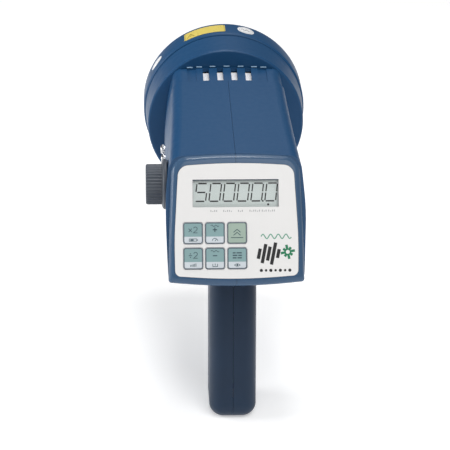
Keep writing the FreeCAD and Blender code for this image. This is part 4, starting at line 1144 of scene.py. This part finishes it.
def keySigns():
    battery = [band([(-2.6, -0.8), (2.4, -0.8), (2.4, 0.8), (-2.6, 0.8)], 0.35, closed=True),
               band([(3.0, -0.4), (3.0, 0.4)], 0.5), band([(-1.8, 0), (0.4, 0)], 0.9)]
    gauge = [band(arc(0, -0.9, 1.9, 170, 10, 12), 0.4), band([(0, -0.9), (1.0, 0.5)], 0.4)]
    ladder = [band([(x, -0.9), (x, 0.3 + 0.25 * i)], 0.45) for i, x in enumerate((-1.8, -0.9, 0.0, 0.9, 1.8))]
    box = [band([(-1.6, 0.9), (-1.6, -0.9), (1.6, -0.9), (1.6, 0.9)], 0.4), band([(0, 1.1), (0, -0.2)], 0.45)]
    eye = [band(arc(0, -1.9, 2.7, 140, 40, 12), 0.35), band(arc(0, 1.9, 2.7, 220, 320, 12), 0.35),
           filled(arc(0, 0, 0.6, 0, 330, 11))]
    shift = [band([(-2.4, 0.4), (0, 2.4), (2.4, 0.4)], 0.5), band([(-2.4, -1.6), (0, 0.4), (2.4, -1.6)], 0.5),
             band([(-4.2, -3.2), (4.2, -3.2)], 0.5)]
    listLines = barRow(1.4, (2.0, 3.6)) + barRow(-0.3, (3.2, 2.4)) + barRow(-2.0, (2.6, 3.0))
    return {
        "double": (timesSign(-1.9) + figureTwo(1.6), battery),
        "plus": (smallWave(2.7) + plusSign(1.5), gauge),
        "function": (shift, []),
        "halve": (divideSign(-1.9) + figureTwo(1.6), ladder),
        "minus": (smallWave(2.7) + [band([(-1.5, -0.4), (1.5, -0.4)], 0.7)], box),
        "preset": (listLines, eye),
    }


def makeKey(name, upperSigns, lowerSigns):
    key = {"flangeOut": 0.55, "flangeCorner": 1.0, "corner": 1.8, "edge": 0.22, "line": 0.5, "lineIn": 0.42,
           "split": 0.67, "proud": 0.35, "nib": 2.2, "nibHeight": 0.5, "flangeTop": 1.4}
    node = "key_" + name
    low, high = spanIn(panel, node)
    centre = (low + high) / 2
    width = high.x - low.x - 2 * key["flangeOut"]
    height = high.y - low.y - 2 * key["flangeOut"]
    top = key["proud"]
    flangeLow = low.z + key["nibHeight"]
    flangeTop = low.z + key["flangeTop"]
    wide = width + 2 * key["flangeOut"]
    tall = height + 2 * key["flangeOut"]
    place = panel @ Matrix.Translation(Vector((centre.x, centre.y, 0)) * mm)
    r = key["corner"]
    e = key["edge"]
    rings = [
        roundedOutline(wide, tall, key["flangeCorner"], flangeLow),
        roundedOutline(wide, tall, key["flangeCorner"], flangeTop),
        roundedOutline(width, height, r, flangeTop),
        roundedOutline(width, height, r, top - e),
        roundedOutline(width - 0.6 * e, height - 0.6 * e, r - 0.3 * e, top - 0.3 * e),
        roundedOutline(width - 2 * e, height - 2 * e, r - e, top),
    ]
    nibProfile = [(0, flangeLow), (key["nib"], flangeLow), (key["nib"], low.z), (0, low.z)]
    nib = turned(nibProfile, closed=False, steps=24)
    fieldWidth = width - 2 * key["lineIn"]
    fieldHeight = height - 2 * key["lineIn"]
    line = roundedOutline(fieldWidth, fieldHeight, r - key["lineIn"], 0)
    splitV = fieldHeight / 2 - key["split"] * fieldHeight
    fieldPrint = greenPrint if name == "function" else tealPrint
    field = line
    if lowerSigns:
        field = [(x, max(y, splitV), z) for x, y, z in line]
    signV = 0.0 if not lowerSigns else (fieldHeight / 2 + splitV) / 2
    lowV = (splitV - fieldHeight / 2) / 2
    upper = [([(x, y + signV) for x, y in points], faces) for points, faces in upperSigns]
    lower = [([(x, y + lowV) for x, y in points], faces) for points, faces in lowerSigns]
    outline = [band([point[:2] for point in line], key["line"], closed=True)]
    parts = [
        (bake(stacked(rings), place), palePrint),
        (bake(nib, place), palePrint),
        (bake(flatMarks([filled(field)], top + 0.03, 0.06), place), fieldPrint),
        (bake(flatMarks(outline, top + 0.06, 0.1), place), outlineInk),
        (bake(flatMarks(upper + lower, top + 0.07, 0.08), place), keyInk),
    ]
    assemble(name + "Key", parts, node + "_moving", [node])


makeDigits()
makePanelPrint()
for keyName, (upperSigns, lowerSigns) in keySigns().items():
    makeKey(keyName, upperSigns, lowerSigns)
print("panel ready")


# Left side: the knob and the jacks

knobAt = Vector(joints["knob_turn"]["pos_m"])
knobPlace = placeAlong((0, knobAt.y, knobAt.z), (-1, 0, 0), (0, 1, 0))


def makeKnob():
    knob = {"grip": 14.2, "flutes": 40, "fluteDepth": 0.55, "skirtHeight": 3.6, "skirtBore": 9.0,
            "dish": 0.35}
    low, high = spanIn(knobPlace, "knob")
    skirtTop = low.z + knob["skirtHeight"]
    end = high.z
    r = knob["grip"]
    count = knob["flutes"] * 8
    rings = []
    for inset, z, depth in ((0, skirtTop - 0.1, 1), (0, end - 2.0, 1), (0.05, end - 1.1, 0.9),
                            (0.35, end - 0.4, 0.5), (1.0, end, 0), (2.0, end, 0),
                            (2.5, end - knob["dish"], 0)):
        rings.append(circle(r - inset, z, count, knob["flutes"], knob["fluteDepth"] * depth))
    skirt = turned([(knob["skirtBore"], skirtTop), (r + 0.4, skirtTop), (high.x - 1.0, skirtTop - 0.7),
                    (high.x, skirtTop - 1.6), (high.x, low.z), (knob["skirtBore"], low.z)], 0.4, steps=96)
    pointer = flatMarks([band([(0, -4.0), (0, -11.0)], 1.1)], end - knob["dish"] + 0.05, 0.1)
    parts = [
        (bake(stacked(rings), knobPlace, 24), knobPlastic),
        (bake(skirt, knobPlace), knobPlastic),
        (bake(pointer, knobPlace), whiteFilm),
    ]
    assemble("speedKnob", parts, "knob_turning", ["knob"])


def makeJacks():
    jack = {"bore": 1.8, "bushing": 3.0, "nut": 3.6, "teeth": 18, "toothDepth": 0.35, "caseWidth": 9.0,
            "caseDepth": 12.2, "caseCorner": 0.8, "chamfer": 0.5, "nutFoot": 0.4, "nutHead": 0.7}
    nutParts = []
    bodyParts = []
    for low, high in solidBoxes("jack_nuts"):
        centre = (low + high) / 2
        place = placeAlong((0, centre.y, centre.z), (-1, 0, 0), (0, 1, 0))
        bottom = -high.x / mm
        top = -low.x / mm
        count = jack["teeth"] * 6
        rings = [
            circle(jack["bushing"], bottom, count),
            circle(jack["nut"] - 0.3, bottom, count, jack["teeth"], 0),
            circle(jack["nut"], bottom + jack["nutFoot"], count, jack["teeth"], jack["toothDepth"]),
            circle(jack["nut"], top - jack["nutHead"], count, jack["teeth"], jack["toothDepth"]),
            circle(jack["nut"] - jack["chamfer"], top, count, jack["teeth"], 0),
            circle(jack["bushing"], top, count),
        ]
        nutParts.append((bake(stacked(rings, loop=True), place), shinyMetal))
    for low, high in solidBoxes("jack_bodies"):
        centre = (low + high) / 2
        place = placeAlong((0, centre.y, centre.z), (-1, 0, 0), (0, 1, 0))
        top = -low.x / mm
        inside = -high.x / mm
        case = inside + jack["caseDepth"]
        mouth = jack["bushing"] - jack["chamfer"]
        bushing = turned([(jack["bore"], top), (mouth, top), (jack["bushing"], top - 0.6),
                          (jack["bushing"], case), (jack["bore"], case)], 0.15, steps=48)
        width = jack["caseWidth"]
        rings = [roundedOutline(width, width, jack["caseCorner"], z) for z in (inside, case)]
        bodyParts.append((bake(bushing, place), shinyMetal))
        bodyParts.append((bake(stacked(rings), place), darkPlastic))
    assemble("jackNuts", nutParts, "housing", ["jack_nuts"])
    assemble("jackBodies", bodyParts, "housing", ["jack_bodies"])


makeKnob()
makeJacks()
print("knob and jacks ready")


# Handle: trigger, lock button, springs, screws and the tripod bush

handleFront = -Vector(joints["trigger_pull"]["axis"])
handleUp = Vector((0, -handleFront.z, handleFront.y))
handle = placeAlong((0, 0, 0), handleUp, (1, 0, 0))


def makeTrigger():
    trigger = {"width": 16.0, "blade": 24.2, "hook": 1.5, "curl": 3.0, "corner": 3.0, "levels": 20,
               "stopFront": 18.6, "stopEnd": 1.6, "pinch": 1.6, "pinchFrom": 0.86, "ribHalf": 5.5,
               "ribWidth": 0.9, "ribRise": 0.7, "ribSink": 0.2, "ribs": (-6, -3, 0, 3), "bladeBack": 5.0}
    low, high = spanIn(handle, "trigger")
    bottom = low.z + trigger["stopEnd"]
    top = high.z - trigger["stopEnd"]
    back = low.y + trigger["bladeBack"]
    rings = []
    for i in range(trigger["levels"] + 1):
        t = -1 + 2 * i / trigger["levels"]
        front = trigger["blade"] + trigger["hook"] * t + trigger["curl"] * t ** 2
        pinch = trigger["pinch"] * max(abs(t) - trigger["pinchFrom"], 0.0) / (1 - trigger["pinchFrom"])
        depth = front - pinch - back
        height = bottom + (top - bottom) * i / trigger["levels"]
        width = trigger["width"] - pinch
        rings.append(roundedOutline(width, depth, trigger["corner"], height, 0, back + depth / 2))
    stopDepth = trigger["stopFront"] - low.y
    stopMiddle = (trigger["stopFront"] + low.y) / 2
    stop = [roundedOutline(high.x - low.x, stopDepth, 1.0, z, 0, stopMiddle) for z in (low.z, high.z)]
    half = trigger["ribHalf"]
    ribs = [band([(-half, y), (half, y)], trigger["ribWidth"]) for y in trigger["ribs"]]
    grip = [flatMarks([rib], 0, 0.5) for rib in ribs]
    face = trigger["blade"] - trigger["ribSink"]
    gripPlace = handle @ Matrix.Translation(Vector((0, face, (low.z + high.z) / 2 - 1)) * mm)
    gripPlace = gripPlace @ Matrix.Rotation(math.radians(-90), 4, "X") @ Matrix.Scale(-1, 4, (0, 1, 0))
    parts = [(bake(stacked(rings), handle), darkPlastic), (bake(stacked(stop), handle), darkPlastic)]
    for rib in grip:
        ribPlace = gripPlace @ Matrix.Translation((0, 0, trigger["ribRise"] * mm))
        parts.append((bake(rib, ribPlace), knobPlastic))
    assemble("triggerBlade", parts, "trigger_moving", ["trigger"])


def makeLockButton():
    button = {"cap": 4.5, "flange": 5.2, "flangeHeight": 1.0, "grooves": 3, "firstGroove": 1.1,
              "groovePitch": 1.0, "grooveDepth": 0.25}
    low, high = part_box("lock_button")
    centre = (low + high) / 2
    place = placeAlong((0, centre.y, centre.z), (-1, 0, 0), (0, 1, 0))
    top = -low.x / mm
    bottom = -high.x / mm
    profile = [(0, top + 0.2)]
    for i in range(button["grooves"]):
        r = button["firstGroove"] + button["groovePitch"] * i
        profile += [(r - 0.2, top + 0.1), (r, top - button["grooveDepth"]), (r + 0.25, top + 0.05)]
    flangeTop = bottom + button["flangeHeight"]
    profile += [(button["cap"] - 0.4, top), (button["cap"], top - 0.6), (button["cap"], flangeTop),
                (button["flange"], flangeTop), (button["flange"], bottom), (0, bottom)]
    mesh = bake(turned(profile, 0.1, closed=False, steps=48), place)
    assemble("lockButton", [(mesh, knobPlastic)], "lock_moving", ["lock_button"])


def makeSpring(name, node, start, along, coil, wire, length, turns):
    side = (1, 0, 0) if abs(along[0]) < 0.5 else (0, 1, 0)
    place = placeAlong(start, along, side)
    steps = 28
    helix = []
    for i in range(int(turns * steps) + 1):
        turn = 2 * math.pi * i / steps
        share = i / (turns * steps)
        helix.append((coil * math.cos(turn), coil * math.sin(turn), wire + (length - 2 * wire) * share))
    mesh = bake(tubeAlong(helix, wire), place)
    spring = assemble(name, [(mesh, shinyMetal)], "housing", [node])
    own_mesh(spring)


def makeSprings():
    # each spring pushes its moving part away from the switch case inside the handle
    wire = 0.35
    coilTurns = 4
    low, high = spanIn(handle, "trigger_spring")
    centre = (low + high) / 2
    start = handle @ (Vector((centre.x, low.y, centre.z)) * mm)
    coil = (high.x - low.x) / 2 - wire
    makeSpring("triggerSpring", "trigger_spring", start, handleFront, coil, wire, high.y - low.y, coilTurns)
    low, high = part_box("lock_spring")
    start = Vector((high.x, (low.y + high.y) / 2, (low.z + high.z) / 2))
    coil = (high.z - low.z) / 2 / mm - wire
    length = (high.x - low.x) / mm
    makeSpring("lockSpring", "lock_spring", start, Vector((-1, 0, 0)), coil, wire, length, coilTurns)


def makeCaseScrews():
    screw = {"shank": 1.25, "neck": 1.5, "head": 2.8, "headHeight": 2.2, "recess": 1.25, "recessDepth": 1.2,
             "neckFrom": 7.0, "points": 36, "chamfer": 0.5, "tip": 0.8, "edge": 0.6, "lobes": 6,
             "lobeDepth": 0.4}
    parts = []
    for low, high in solidBoxes("case_screws"):
        centre = (low + high) / 2
        place = placeAlong((low.x, centre.y, centre.z), (1, 0, 0), (0, 1, 0))
        length = (high.x - low.x) / mm
        under = length - screw["headHeight"]
        count = screw["points"]
        rings = [
            circle(screw["shank"] - screw["chamfer"], 0, count), circle(screw["shank"], screw["tip"], count),
            circle(screw["shank"], screw["neckFrom"], count), circle(screw["neck"], screw["neckFrom"], count),
            circle(screw["neck"], under, count), circle(screw["head"], under, count),
            circle(screw["head"], length - screw["edge"], count),
            circle(screw["head"] - screw["chamfer"], length, count),
            circle(screw["recess"], length, count, screw["lobes"], screw["lobeDepth"]),
            circle(screw["recess"], length - screw["recessDepth"], count, screw["lobes"], screw["lobeDepth"]),
        ]
        parts.append((bake(stacked(rings), place), plainSteel))
    assemble("caseScrews", parts, "housing", ["case_screws"])


def makeTripodBush():
    bush = {"outer": 5.0, "bore": 3.175, "pitch": 1.27, "thread": 0.35, "flange": 6.6, "flangeHeight": 0.98}
    top = spanIn(Matrix.Identity(4), "tripod_bush")[1].z
    profile = [(bush["bore"], top), (bush["flange"], top), (bush["flange"], top - bush["flangeHeight"]),
               (bush["outer"], top - bush["flangeHeight"]), (bush["outer"], 0), (bush["bore"] + 0.5, 0)]
    turns = int(top / bush["pitch"]) - 1
    for i in range(turns):
        z = 0.5 + bush["pitch"] * i
        profile += [(bush["bore"], z), (bush["bore"] + bush["thread"], z + bush["pitch"] / 2)]
    mesh = bake(turned(profile, steps=64), Matrix.Identity(4), 20)
    assemble("tripodBush", [(mesh, threadBrass)], "housing", ["tripod_bush"])


makeTrigger()
makeLockButton()
makeSprings()
makeCaseScrews()
makeTripodBush()
print("handle ready")


# Floor

def makeFloor():
    half = studio["floorSize"] / 2
    corners = [(-half, -half, 0), (half, -half, 0), (half, half, 0), (-half, half, 0)]
    floor = newObject("floor", corners, [], [(0, 1, 2, 3)])
    floor.data.materials.append(studioPaper("studioPaper", (0.9, 0.9, 0.9), studio["floorGlow"]))


makeFloor()
